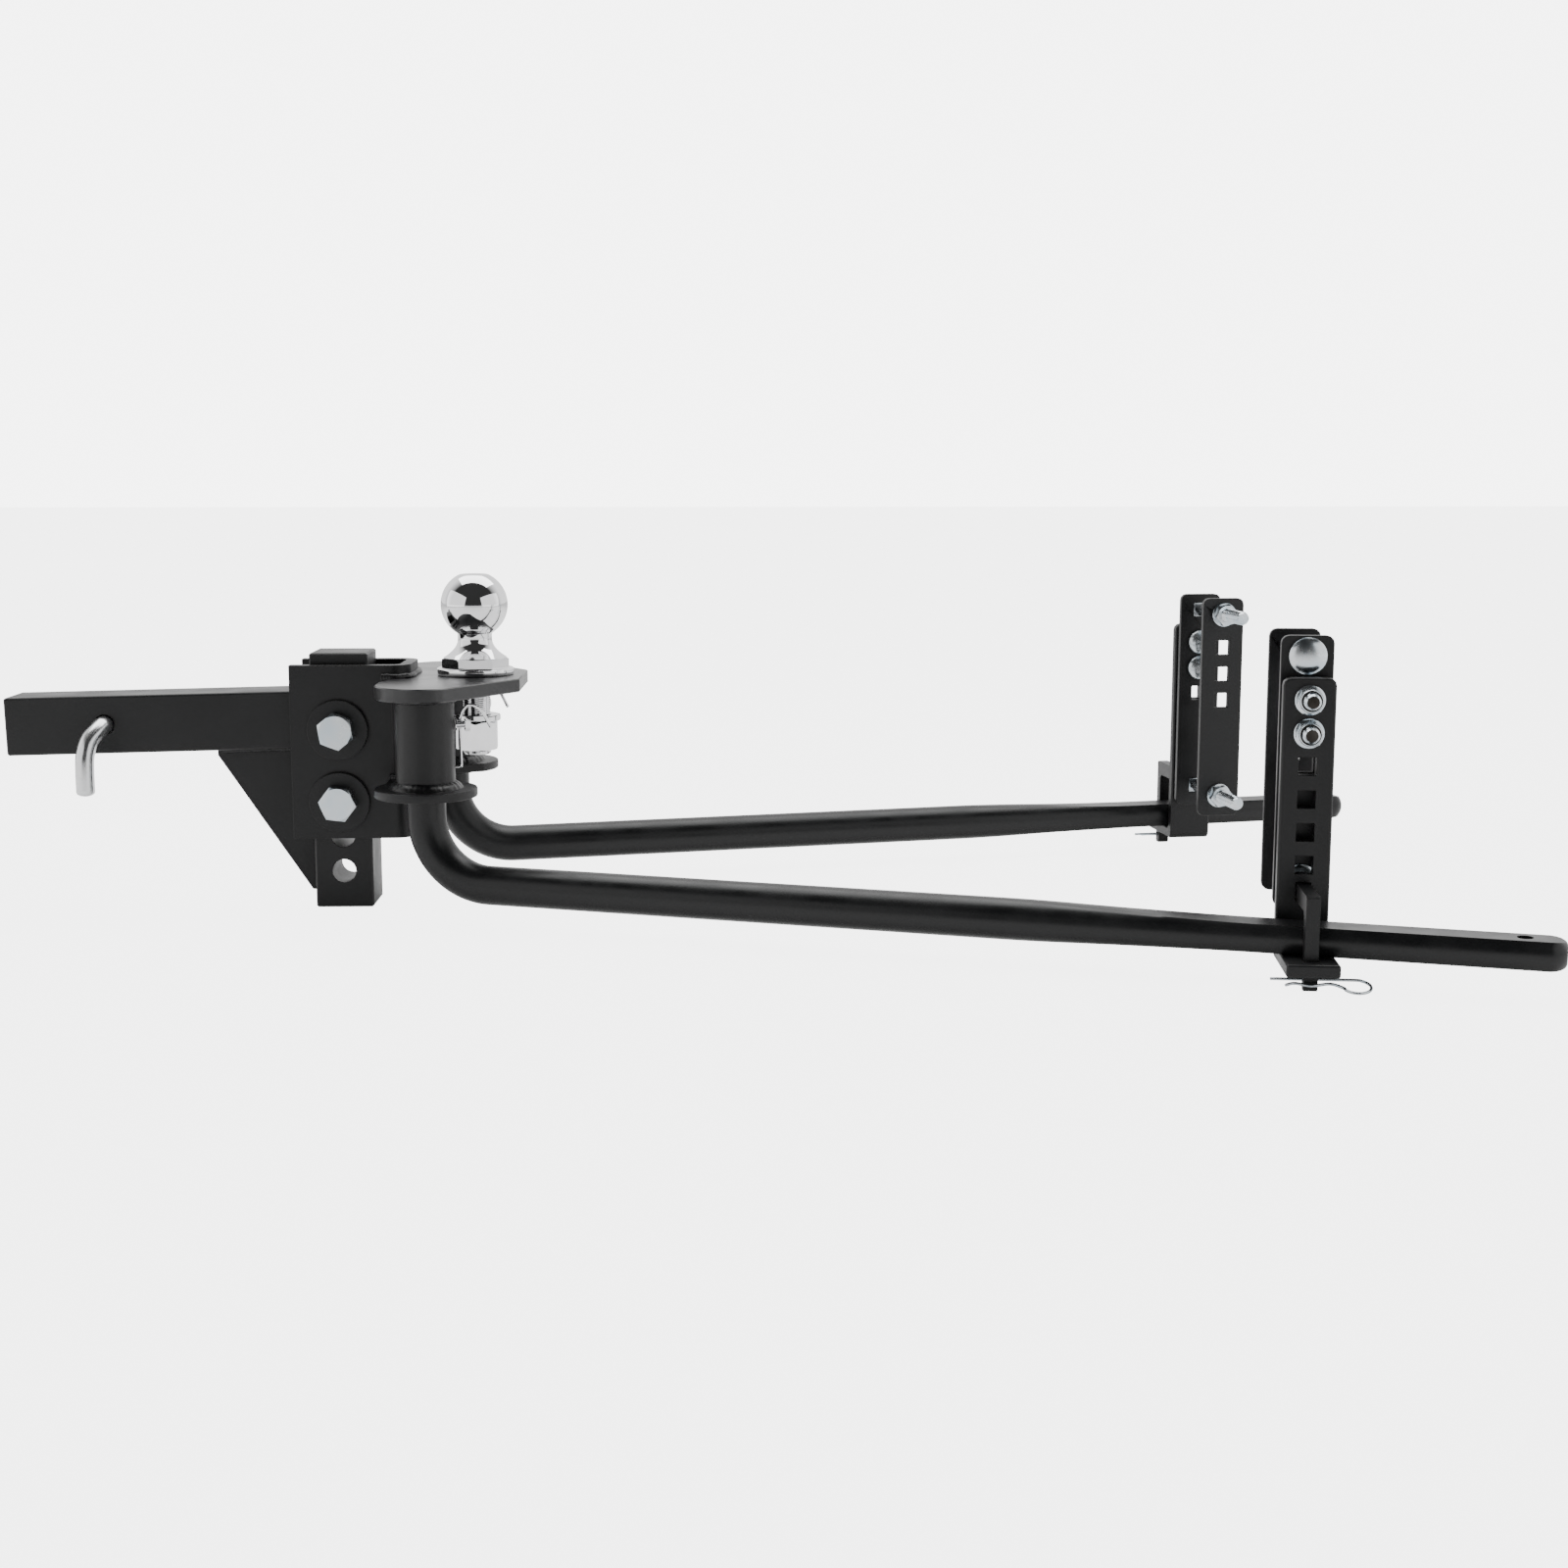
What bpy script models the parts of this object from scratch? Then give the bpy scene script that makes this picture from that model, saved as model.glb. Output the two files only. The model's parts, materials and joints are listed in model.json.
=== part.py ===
"""A weight distribution hitch: ball mount, tow ball, two round spring bars and two frame brackets.

Metres, +Z up. The shank points along -X, towards the towing vehicle, and the spring bars along +X.
The origin is the centre of the drop bar's foot, which stands on the ground at Z = 0.
Y = 0 is the middle plane.
Left is -Y and right is +Y, as seen when facing the vehicle.
"""

import math

import bmesh
import bpy
from mathutils import Matrix, Vector

# Clearances
GAP = 0.0003
SIDES = {"left": -1, "right": 1}

# Shank and drop bar
BAR_SIDE = 0.0508
HALF_BAR = BAR_SIDE / 2
SHANK_LENGTH = 0.265
SHANK_RISE = math.radians(1.28)
SHANK_TOP = 0.1931
DROP_LEFT = -HALF_BAR
DROP_HEIGHT = 0.226
HOLE_PITCH = 0.03175
LOWEST_HOLE = 0.0328
HOLE_COUNT = 6
HOLE_RADIUS = 0.0105
EDGE_ROUND = 0.0015

# Gusset under the shank
GUSSET_LENGTH = 0.086
GUSSET_BOTTOM = 0.0125
GUSSET_THICKNESS = 0.012

# Hitch pin
PIN_RADIUS = 0.0079
PIN_HOLE_RADIUS = 0.0088
PIN_FROM_DROP = 0.1794
PIN_TIP = 0.053
PIN_CLIP_AT = 0.0455
CLIP_HOLE_RADIUS = 0.0019

# Head: channel, ball plate, sockets
CHANNEL_LEFT = -0.0413
CHANNEL_RIGHT = 0.0632
CHANNEL_THICKNESS = 0.010
CHANNEL_HALF = HALF_BAR + GAP + CHANNEL_THICKNESS
CHANNEL_BOTTOM = 0.0638
CHANNEL_HEIGHT = 0.1524
CHANNEL_BEND = 0.016
PLATE_TOP = 0.2048
PLATE_THICKNESS = 0.0118
PLATE_END = 0.1592
PLATE_END_HALF = 0.040
SOCKET_X = 0.0822
SOCKET_Y = 0.0860
LOBE_RADIUS = 0.0415
SOCKET_OUTER = 0.0254
SOCKET_INNER = 0.0173
SOCKET_BOTTOM = 0.1070
LOWER_PLATE_TOP = 0.1165
LOWER_PLATE_THICKNESS = 0.0075
LOWER_PLATE_RADIUS = 0.0438

# Main bolts, 3/4 inch
MAIN_BOLT_HOLES = {"upper": 4, "lower": 2}
MAIN_BOLT_RADIUS = 0.0095
MAIN_HEX_CORNER = 0.0165
MAIN_HEAD_HEIGHT = 0.012
MAIN_NUT_HEIGHT = 0.0165
MAIN_WASHER_RADIUS = 0.0265
MAIN_WASHER_THICKNESS = 0.004

# Tow ball, 2 5/16 inch
BALL_X = 0.1167
BALL_RADIUS = 0.02935
BALL_CENTRE = 0.0618
BALL_FLAT = 0.0268
BALL_FLANGE_RADIUS = 0.034
BALL_HEX_CORNER = 0.0295
BALL_SHANK_RADIUS = 0.0127
BALL_SHANK_BOTTOM = 0.134
BALL_NUT_TOP = 0.1635
BALL_NUT_HEIGHT = 0.0255
BALL_NUT_CORNER = 0.0238
LOCK_WASHER_HEIGHT = 0.0062
LOCK_WASHER_RADIUS = 0.0212

# Spring bars
SPRING_RADIUS = 0.01665
SPRING_HEIGHT = 0.0348
SPRING_BEND = 0.058
SPRING_LENGTH = 0.922
SPRING_TOP = 0.188
SPRING_YAW = {"left": math.radians(-19.0), "right": math.radians(13.5)}
FLAT_START = 0.500
FLAT_FULL = 0.700
FLAT_HALF_WIDTH = 0.017
FLAT_HALF_HEIGHT = 0.011
FLAT_SIDE_SHARE = 0.6
SPRING_HOLE_FROM_END = 0.030
SPRING_HOLE_RADIUS = 0.006
GROOVE_HEIGHT = 0.133
GROOVE_HALF = 0.0045
GROOVE_RADIUS = 0.0125
SPRING_SIDES = 20

# Wire clip that keeps a spring bar in its socket
BAR_CLIP_YAW = {"left": math.radians(12), "right": math.radians(-12)}
BAR_CLIP_WIRE = 0.0014
BAR_CLIP_PIVOT = 0.170
BAR_CLIP_OUT = 0.0045
BAR_CLIP_HOLE = 0.0052
CLIP_BOLT_RADIUS = 0.0032
CLIP_BOLT_CORNER = 0.0062

# Frame bracket, in its own frame: x along the trailer, o away from the middle plane, z above the ground
BRACKET_AT = {"left": 0.735, "right": 0.742}
BRACKET_YAW = {"left": math.radians(-6.5), "right": math.radians(6.5)}
LINK_WIDTH = 0.040
LINK_THICKNESS = 0.00635
LINK_BOTTOM = 0.050
LINK_TOP = 0.261
LINK_CORNER = 0.006
LIFT_FACE = 0.0225
LIFT_THICKNESS = 0.010
LIFT_TOP = 0.2304
FOOT_BOTTOM = 0.0133
FOOT_THICKNESS = 0.010
FOOT_END = 0.042
SPACER_THICKNESS = 0.0080
SPACER_INNER = 0.0104
SPACER_OUTER = 0.0125
FRAME_GAP = 0.060
SQUARE_HOLE = 0.0138
SQUARE_PITCH = 0.0254
TOP_SQUARE = 0.2136
LIFT_SQUARES = 6
LINK_SQUARES = 3
CLAMP_HEIGHTS = {"upper": 0.2455, "lower": 0.0700}
CARRIAGE_RADIUS = 0.00635
CLAMP_HEAD_RADIUS = 0.0143
LIFT_HEAD_RADIUS = 0.0121
CARRIAGE_HEAD_HEIGHT = 0.0068
HEAD_EDGE = 0.0014
CLAMP_LENGTH = 0.127
LIFT_BOLT_LENGTH = 0.0425
NUT_CORNER = 0.0108
NUT_HEIGHT = 0.0108
NUT_FLANGE_RADIUS = 0.0117

# Retainer and its clip
RETAINER_INNER = 0.0195
RETAINER_LEG = 0.010
RETAINER_HALF = 0.0052
RETAINER_TOP = {"left": 0.0724, "right": 0.0844}
RETAINER_SHIFT = {"left": 0.0, "right": -0.010}
ARM_HEIGHT = 0.0135
TIP_TAPER = 0.002
CLIP_WIRE = 0.0012
CLIP_HEIGHT = 0.0085
CLIP_TILT = math.radians(14)

BLACK = (0.012, 0.012, 0.013)
CHROME = (0.78, 0.78, 0.79)
ZINC = (0.60, 0.63, 0.66)


def clear_scene():
    for item in list(bpy.data.objects):
        bpy.data.objects.remove(item, do_unlink=True)


def new_collection(name):
    made = bpy.data.collections.new(name)
    bpy.context.scene.collection.children.link(made)
    return made


def new_material(name, colour, roughness, metallic):
    made = bpy.data.materials.new(name)
    made.use_nodes = True
    shader = made.node_tree.nodes["Principled BSDF"]
    shader.inputs["Base Color"].default_value = (*colour, 1.0)
    shader.inputs["Roughness"].default_value = roughness
    shader.inputs["Metallic"].default_value = metallic
    return made


clear_scene()
PARTS = new_collection("weight_distribution_hitch")
CUTTERS = new_collection("cutters")
POWDER_COAT = new_material("powder_coat", BLACK, 0.42, 0.0)
CHROME_PLATE = new_material("chrome_plate", CHROME, 0.08, 1.0)
ZINC_PLATE = new_material("zinc_plate", ZINC, 0.28, 1.0)


def add_empty(name, location, yaw=0.0, parent=None):
    made = bpy.data.objects.new(name, None)
    PARTS.objects.link(made)
    made.parent = parent
    made.location = location
    made.rotation_euler = (0.0, 0.0, yaw)
    return made


def add_object(name, mesh, material, location=(0, 0, 0), rotation=(0, 0, 0), parent=None, smooth=True):
    made = bpy.data.objects.new(name, mesh)
    PARTS.objects.link(made)
    made.parent = parent
    made.location = location
    made.rotation_euler = rotation
    mesh.materials.append(material)
    if smooth:
        mesh.shade_smooth()
        mesh.set_sharp_from_angle(angle=math.radians(35))
    return made


def mesh_from(work, name):
    made = bpy.data.meshes.new(name)
    bmesh.ops.recalc_face_normals(work, faces=work.faces)
    work.to_mesh(made)
    work.free()
    return made


def box_mesh(name, size, centre=(0, 0, 0)):
    work = bmesh.new()
    scaled = Matrix.Translation(centre) @ Matrix.Diagonal((*size, 1.0))
    bmesh.ops.create_cube(work, size=1.0, matrix=scaled)
    return mesh_from(work, name)


def cylinder_mesh(name, radius, start, end, segments=32, top_radius=None, turn=0.0):
    """A solid cylinder or prism along +Z from start to end."""
    work = bmesh.new()
    place = Matrix.Translation((0, 0, (start + end) / 2)) @ Matrix.Rotation(turn, 4, "Z")
    bmesh.ops.create_cone(
        work,
        cap_ends=True,
        segments=segments,
        radius1=radius,
        radius2=radius if top_radius is None else top_radius,
        depth=end - start,
        matrix=place,
    )
    return mesh_from(work, name)


def turned_mesh(name, profile, segments=32):
    """A closed turned solid from (radius, height) pairs, down the outside from the axis and back to it."""
    work = bmesh.new()
    points = [work.verts.new((radius, 0, height)) for radius, height in profile]
    edges = [work.edges.new(pair) for pair in zip(points, points[1:])]
    bmesh.ops.spin(
        work,
        geom=points + edges,
        cent=(0, 0, 0),
        axis=(0, 0, 1),
        angle=2 * math.pi,
        steps=segments,
        use_merge=True,
    )
    bmesh.ops.remove_doubles(work, verts=work.verts, dist=1e-6)
    return mesh_from(work, name)


def ring_mesh(name, inner, outer, bottom, top, segments=32):
    """A washer or tube: a rectangle turned about Z."""
    corners = [(inner, top), (outer, top), (outer, bottom), (inner, bottom), (inner, top)]
    return turned_mesh(name, corners, segments)


def outline_mesh(name, points, thickness):
    """A flat plate: an outline in x and y, filled and extruded to the given thickness, centred on z = 0."""
    curve = bpy.data.curves.new(name, "CURVE")
    curve.dimensions = "2D"
    curve.fill_mode = "BOTH"
    curve.extrude = thickness / 2
    spline = curve.splines.new("POLY")
    spline.points.add(len(points) - 1)
    for target, (x, y) in zip(spline.points, points):
        target.co = (x, y, 0, 1)
    spline.use_cyclic_u = True
    return curve_to_mesh(curve)


def wire_mesh(name, points, radius, resolution=1):
    """A round wire along the points, with flat ends."""
    curve = bpy.data.curves.new(name, "CURVE")
    curve.dimensions = "3D"
    curve.bevel_depth = radius
    curve.bevel_resolution = resolution
    curve.use_fill_caps = True
    spline = curve.splines.new("POLY")
    spline.points.add(len(points) - 1)
    for target, point in zip(spline.points, points):
        target.co = (*point, 1)
    return curve_to_mesh(curve)


def curve_to_mesh(curve):
    holder = bpy.data.objects.new(curve.name, curve)
    CUTTERS.objects.link(holder)
    bpy.context.view_layer.update()
    graph = bpy.context.evaluated_depsgraph_get()
    made = bpy.data.meshes.new_from_object(holder.evaluated_get(graph))
    bpy.data.objects.remove(holder, do_unlink=True)
    work = bmesh.new()
    work.from_mesh(made)
    bmesh.ops.remove_doubles(work, verts=work.verts, dist=1e-6)
    bpy.data.meshes.remove(made)
    return mesh_from(work, curve.name)


def cut(target, mesh, location=(0, 0, 0), rotation=(0, 0, 0), operation="DIFFERENCE"):
    """Cuts, or joins, a mesh that is placed in the target's own frame."""
    tool = bpy.data.objects.new(f"{target.name}_cutter", mesh)
    CUTTERS.objects.link(tool)
    tool.parent = target
    tool.location = location
    tool.rotation_euler = rotation
    tool.hide_render = True
    tool.display_type = "WIRE"
    step = target.modifiers.new("cut", "BOOLEAN")
    step.operation = operation
    step.object = tool
    return tool


def bevel(target, width, segments=1):
    step = target.modifiers.new("edge", "BEVEL")
    step.width = width
    step.segments = segments
    step.limit_method = "ANGLE"
    step.angle_limit = math.radians(40)


def arc(centre, radius, start, end, count):
    """Points on an arc in degrees, both ends included."""
    made = []
    for step in range(count + 1):
        angle = math.radians(start + (end - start) * step / count)
        made.append((centre[0] + radius * math.cos(angle), centre[1] + radius * math.sin(angle)))
    return made


def smooth_path(points, per_span=6):
    """A Catmull-Rom curve through the points."""
    ends = [2 * points[0] - points[1], *points, 2 * points[-1] - points[-2]]
    made = []
    for a, b, c, d in zip(ends, ends[1:], ends[2:], ends[3:]):
        for step in range(per_span):
            t = step / per_span
            bend = (2 * a - 5 * b + 4 * c - d) * t**2 + (3 * b - a - 3 * c + d) * t**3
            made.append(0.5 * (2 * b + (c - a) * t + bend))
    made.append(points[-1])
    return made


ALONG_Y = (math.radians(-90), 0, 0)
ALONG_X = (0, math.radians(90), 0)
UPRIGHT = (math.radians(90), 0, 0)
OUTLINE_ACROSS = Matrix(((0, 0, 1, 0), (1, 0, 0, 0), (0, 1, 0, 0), (0, 0, 0, 1)))


def make_shank():
    middle = SHANK_TOP - HALF_BAR
    length = SHANK_LENGTH - GAP
    pivot = add_empty("shank_frame", (DROP_LEFT - GAP, 0, middle))
    pivot.rotation_euler = (0, -SHANK_RISE, 0)
    body = box_mesh("shank", (length, BAR_SIDE, BAR_SIDE), (-length / 2 - 0.0008, 0, 0))
    shank = add_object("shank", body, POWDER_COAT, parent=pivot)
    bevel(shank, EDGE_ROUND)
    hole = cylinder_mesh("pin_hole", PIN_HOLE_RADIUS, -BAR_SIDE, BAR_SIDE)
    cut(shank, hole, (-PIN_FROM_DROP, 0, 0), ALONG_Y)


def make_drop_bar():
    body = box_mesh("drop_bar", (BAR_SIDE, BAR_SIDE, DROP_HEIGHT), (0, 0, DROP_HEIGHT / 2))
    drop_bar = add_object("drop_bar", body, POWDER_COAT)
    bevel(drop_bar, EDGE_ROUND)
    for index in range(HOLE_COUNT):
        hole = cylinder_mesh("bolt_hole", HOLE_RADIUS, -BAR_SIDE, BAR_SIDE, 20)
        cut(drop_bar, hole, (0, 0, LOWEST_HOLE + index * HOLE_PITCH), ALONG_Y)


def make_gusset():
    right = DROP_LEFT - GAP
    left = right - GUSSET_LENGTH
    top_right = SHANK_TOP - BAR_SIDE - 2 * GAP
    top_left = top_right - GUSSET_LENGTH * math.tan(SHANK_RISE)
    toe = 0.006
    points = [
        (left, top_left),
        (left, top_left - toe),
        (right - toe, GUSSET_BOTTOM),
        (right, GUSSET_BOTTOM),
        (right, top_right),
    ]
    mesh = outline_mesh("gusset", points, GUSSET_THICKNESS)
    add_object("gusset", mesh, POWDER_COAT, rotation=UPRIGHT)


def make_channel():
    outer = CHANNEL_BEND
    inner = CHANNEL_BEND - CHANNEL_THICKNESS
    bend_x = CHANNEL_RIGHT - CHANNEL_BEND
    bend_y = CHANNEL_HALF - CHANNEL_BEND
    clear = CHANNEL_HALF - CHANNEL_THICKNESS
    points = [(CHANNEL_LEFT, -CHANNEL_HALF)]
    points += arc((bend_x, -bend_y), outer, -90, 0, 6)
    points += arc((bend_x, bend_y), outer, 0, 90, 6)
    points += [(CHANNEL_LEFT, CHANNEL_HALF), (CHANNEL_LEFT, clear)]
    points += arc((bend_x, bend_y), inner, 90, 0, 4)
    points += arc((bend_x, -bend_y), inner, 0, -90, 4)
    points += [(CHANNEL_LEFT, -clear)]
    mesh = outline_mesh("head_channel", points, CHANNEL_HEIGHT)
    middle = CHANNEL_BOTTOM + CHANNEL_HEIGHT / 2
    channel = add_object("head_channel", mesh, POWDER_COAT, (0, 0, middle))
    for index in MAIN_BOLT_HOLES.values():
        hole = cylinder_mesh("bolt_hole", HOLE_RADIUS, -0.1, 0.1, 24)
        cut(channel, hole, (0, 0, LOWEST_HOLE + index * HOLE_PITCH - middle), ALONG_Y)


def make_ball_plate():
    """The plate wraps round the channel and ends in a lobe over each socket."""
    slant = 58
    half = [(PLATE_END, PLATE_END_HALF)]
    half += arc((SOCKET_X, SOCKET_Y), LOBE_RADIUS, slant, 180, 10)
    half += [(SOCKET_X - LOBE_RADIUS, SOCKET_Y - 0.020)]
    half += [(SOCKET_X - LOBE_RADIUS + 0.008, CHANNEL_HALF + GAP), (CHANNEL_RIGHT + GAP, CHANNEL_HALF + GAP)]
    mirrored = [(x, -y) for x, y in reversed(half)]
    mesh = outline_mesh("ball_plate", half + mirrored, PLATE_THICKNESS)
    plate = add_object("ball_plate", mesh, POWDER_COAT, (0, 0, PLATE_TOP - PLATE_THICKNESS / 2))
    bevel(plate, 0.001)
    hole = cylinder_mesh("ball_hole", BALL_SHANK_RADIUS + 0.0004, -0.02, 0.02, 32)
    cut(plate, hole, (BALL_X, 0, 0))


def make_socket(name, side):
    x, y = SOCKET_X, side * SOCKET_Y
    tube_top = PLATE_TOP - PLATE_THICKNESS - GAP
    mesh = ring_mesh("socket", SOCKET_INNER, SOCKET_OUTER, SOCKET_BOTTOM, tube_top, 32)
    socket = add_object(f"{name}_socket_tube", mesh, POWDER_COAT, (x, y, 0))
    yaw = BAR_CLIP_YAW[name]
    hole = cylinder_mesh("clip_hole", BAR_CLIP_HOLE, 0, SOCKET_OUTER * 1.3, 16)
    cut(socket, hole, (0, 0, GROOVE_HEIGHT), (0, math.radians(90), yaw))
    tab = CHANNEL_HALF + GAP
    points = [(CHANNEL_RIGHT - 0.004, tab), (CHANNEL_RIGHT - 0.020, tab)]
    points += arc((SOCKET_X, SOCKET_Y), LOWER_PLATE_RADIUS, 210, -40, 22)
    points = [(px, side * py) for px, py in points]
    flat = outline_mesh("lower_plate", points, LOWER_PLATE_THICKNESS)
    middle = LOWER_PLATE_TOP - LOWER_PLATE_THICKNESS / 2
    plate = add_object(f"{name}_lower_plate", flat, POWDER_COAT, (0, 0, middle))
    hole = cylinder_mesh("tube_hole", SOCKET_OUTER + GAP, -0.02, 0.02, 32)
    cut(plate, hole, (x, y, 0))


def make_main_bolt(name, index):
    """A hex bolt along +Y with its head on the left, and a washer under its head and its nut."""
    height = LOWEST_HOLE + index * HOLE_PITCH
    face = CHANNEL_HALF
    head_base = face + GAP + MAIN_WASHER_THICKNESS + GAP
    end = head_base + MAIN_NUT_HEIGHT + 0.006
    turn = math.radians(8 if name == "upper" else 19)
    mesh = cylinder_mesh("hex_head", MAIN_HEX_CORNER, -head_base - MAIN_HEAD_HEIGHT, -head_base, 6, turn=turn)
    bolt = add_object(f"{name}_main_bolt", mesh, ZINC_PLATE, (0, 0, height), ALONG_Y)
    bevel(bolt, 0.0008)
    shaft = cylinder_mesh("bolt_shaft", MAIN_BOLT_RADIUS, -head_base - 0.004, end, 24)
    cut(bolt, shaft, operation="UNION")
    for label, side in SIDES.items():
        low, high = sorted((side * (face + GAP), side * (face + GAP + MAIN_WASHER_THICKNESS)))
        washer = ring_mesh("washer", MAIN_BOLT_RADIUS + GAP, MAIN_WASHER_RADIUS, low, high, 28)
        add_object(f"{name}_main_washer_{label}", washer, POWDER_COAT, (0, 0, height), ALONG_Y)
    nut = cylinder_mesh("nut", MAIN_HEX_CORNER, head_base, head_base + MAIN_NUT_HEIGHT, 6, turn=turn)
    holder = add_object(f"{name}_main_nut", nut, ZINC_PLATE, (0, 0, height), ALONG_Y)
    bevel(holder, 0.0008)
    bore = cylinder_mesh("bore", MAIN_BOLT_RADIUS + GAP, head_base - 0.01, end + 0.02, 24)
    cut(holder, bore)


def make_tow_ball():
    """The ball, its neck, wrench flats and flange, and the threaded shank below the plate."""
    neck = 0.0160
    flange = 0.0062
    hex_top = 0.0165
    base = GAP
    start = math.acos(BALL_FLAT / BALL_RADIUS)
    neck_angle = math.pi - math.asin(neck / BALL_RADIUS)
    profile = [(0, BALL_CENTRE + BALL_FLAT)]
    for step in range(11):
        angle = start + (neck_angle - start) * step / 10
        profile.append((BALL_RADIUS * math.sin(angle), BALL_CENTRE + BALL_RADIUS * math.cos(angle)))
    waist = profile[-1][1] - 0.003
    for step in range(6):
        t = step / 5
        flare = neck + (BALL_HEX_CORNER * 0.93 - neck) * (1 - math.cos(t * math.pi / 2)) ** 1.1
        profile.append((flare, waist + (hex_top - waist) * t))
    profile += [(BALL_HEX_CORNER * 0.93, flange), (BALL_FLANGE_RADIUS, flange), (BALL_FLANGE_RADIUS, base)]
    shank_bottom = BALL_SHANK_BOTTOM - PLATE_TOP
    profile += [(BALL_SHANK_RADIUS, base), (BALL_SHANK_RADIUS, shank_bottom + 0.002)]
    profile += [(BALL_SHANK_RADIUS - 0.002, shank_bottom), (0, shank_bottom)]
    mesh = turned_mesh("tow_ball", profile, 32)
    ball = add_object("tow_ball", mesh, CHROME_PLATE, (BALL_X, 0, PLATE_TOP))
    flats = cylinder_mesh("hex", BALL_HEX_CORNER, flange - 0.001, hex_top, 6, turn=math.radians(26))
    cut(ball, flats, operation="UNION")


def make_ball_nut():
    low = BALL_NUT_TOP - BALL_NUT_HEIGHT
    nut = cylinder_mesh("ball_nut", BALL_NUT_CORNER, low, BALL_NUT_TOP, 6, turn=math.radians(30))
    holder = add_object("ball_nut", nut, CHROME_PLATE, (BALL_X, 0, 0))
    bevel(holder, 0.001)
    cut(holder, cylinder_mesh("bore", BALL_SHANK_RADIUS + GAP, low - 0.01, BALL_NUT_TOP + 0.01, 32))
    bottom = BALL_NUT_TOP + GAP
    top = bottom + LOCK_WASHER_HEIGHT
    ring = ring_mesh("lock", BALL_SHANK_RADIUS + GAP, LOCK_WASHER_RADIUS, bottom, top, 32)
    washer = add_object("ball_lock_washer", ring, CHROME_PLATE, (BALL_X, 0, 0))
    split = box_mesh("split", (0.03, 0.0016, 0.03), (0.015, 0, bottom + LOCK_WASHER_HEIGHT / 2))
    cut(washer, split, rotation=(0, 0, math.radians(-60)))


def r_clip_points(reach, near, bulge, middle, ring):
    """A hairpin clip in the xy plane: its straight leg lies on the x axis, and its ring is at +x.

    reach is the leg's length beyond the pin, near the least distance between the legs, bulge the most,
    middle the x of the bulge, and ring the ring's radius.
    """
    ring_x = middle + reach
    crossing = math.radians(200)
    points = [Vector((middle - reach * 0.88, 0, 0)), Vector((middle, 0, 0))]
    points.append(Vector((ring_x - ring * 1.1, 0.0, 0)))
    centre = Vector((ring_x, ring, 0))
    for step in range(13):
        angle = math.radians(-80) + crossing * 1.24 * step / 12
        points.append(centre + ring * Vector((math.cos(angle), math.sin(angle), 0)))
    for offset, away in ((0.42, near), (0.0, bulge), (-0.36, near), (-0.58, bulge * 0.95)):
        points.append(Vector((middle + reach * offset, away, 0)))
    return points


def make_hitch_pin():
    hole_x = DROP_LEFT - PIN_FROM_DROP
    hole_z = SHANK_TOP - HALF_BAR - PIN_FROM_DROP * math.tan(SHANK_RISE)
    axis = add_empty("hitch_pin_axis", (hole_x, 0, hole_z))
    route = [
        Vector((0, PIN_TIP - 0.002, 0)),
        Vector((0, 0.02, 0)),
        Vector((0, -0.024, 0)),
        Vector((-0.0015, -0.034, -0.002)),
        Vector((-0.0075, -0.045, -0.011)),
        Vector((-0.0105, -0.0505, -0.024)),
        Vector((-0.0110, -0.052, -0.038)),
        Vector((-0.0110, -0.052, -0.058)),
    ]
    mesh = wire_mesh("hitch_pin", smooth_path(route, 3), PIN_RADIUS, 4)
    pin = add_object("hitch_pin", mesh, ZINC_PLATE, parent=axis)
    cut(pin, cylinder_mesh("clip_hole", CLIP_HOLE_RADIUS, -0.02, 0.02, 12), (0, PIN_CLIP_AT, 0), ALONG_X)
    frame = add_empty("hitch_pin_clip_axis", (0, PIN_CLIP_AT, 0), parent=axis)
    points = r_clip_points(0.030, PIN_RADIUS + 0.0024, PIN_RADIUS + 0.0050, 0.0, 0.0075)
    clip = wire_mesh("hitch_pin_clip", smooth_path(points, 2), CLIP_WIRE)
    clip.transform(Matrix.Rotation(math.radians(-90), 4, "X"))
    add_object("hitch_pin_clip", clip, ZINC_PLATE, parent=frame)


def make_spring_section(half_width, half_height, flat):
    """Points round a circle at flat = 0, and at flat = 1 round one cut off level at top and bottom."""
    corner = math.asin(half_height / half_width)
    made = []
    for step in range(SPRING_SIDES):
        angle = 2 * math.pi * step / SPRING_SIDES
        c, s = math.cos(angle), math.sin(angle)
        share = math.atan2(abs(s), abs(c)) / (math.pi / 2)
        turn = corner * min(1.0, share / FLAT_SIDE_SHARE)
        inwards = min(1.0, (1 - share) / (1 - FLAT_SIDE_SHARE))
        across = math.copysign(half_width * math.cos(turn) * inwards, c)
        up = math.copysign(half_width * math.sin(turn), s)
        round_point = Vector((half_width * c, half_width * s))
        made.append(round_point.lerp(Vector((across, up)), flat))
    return made


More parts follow.
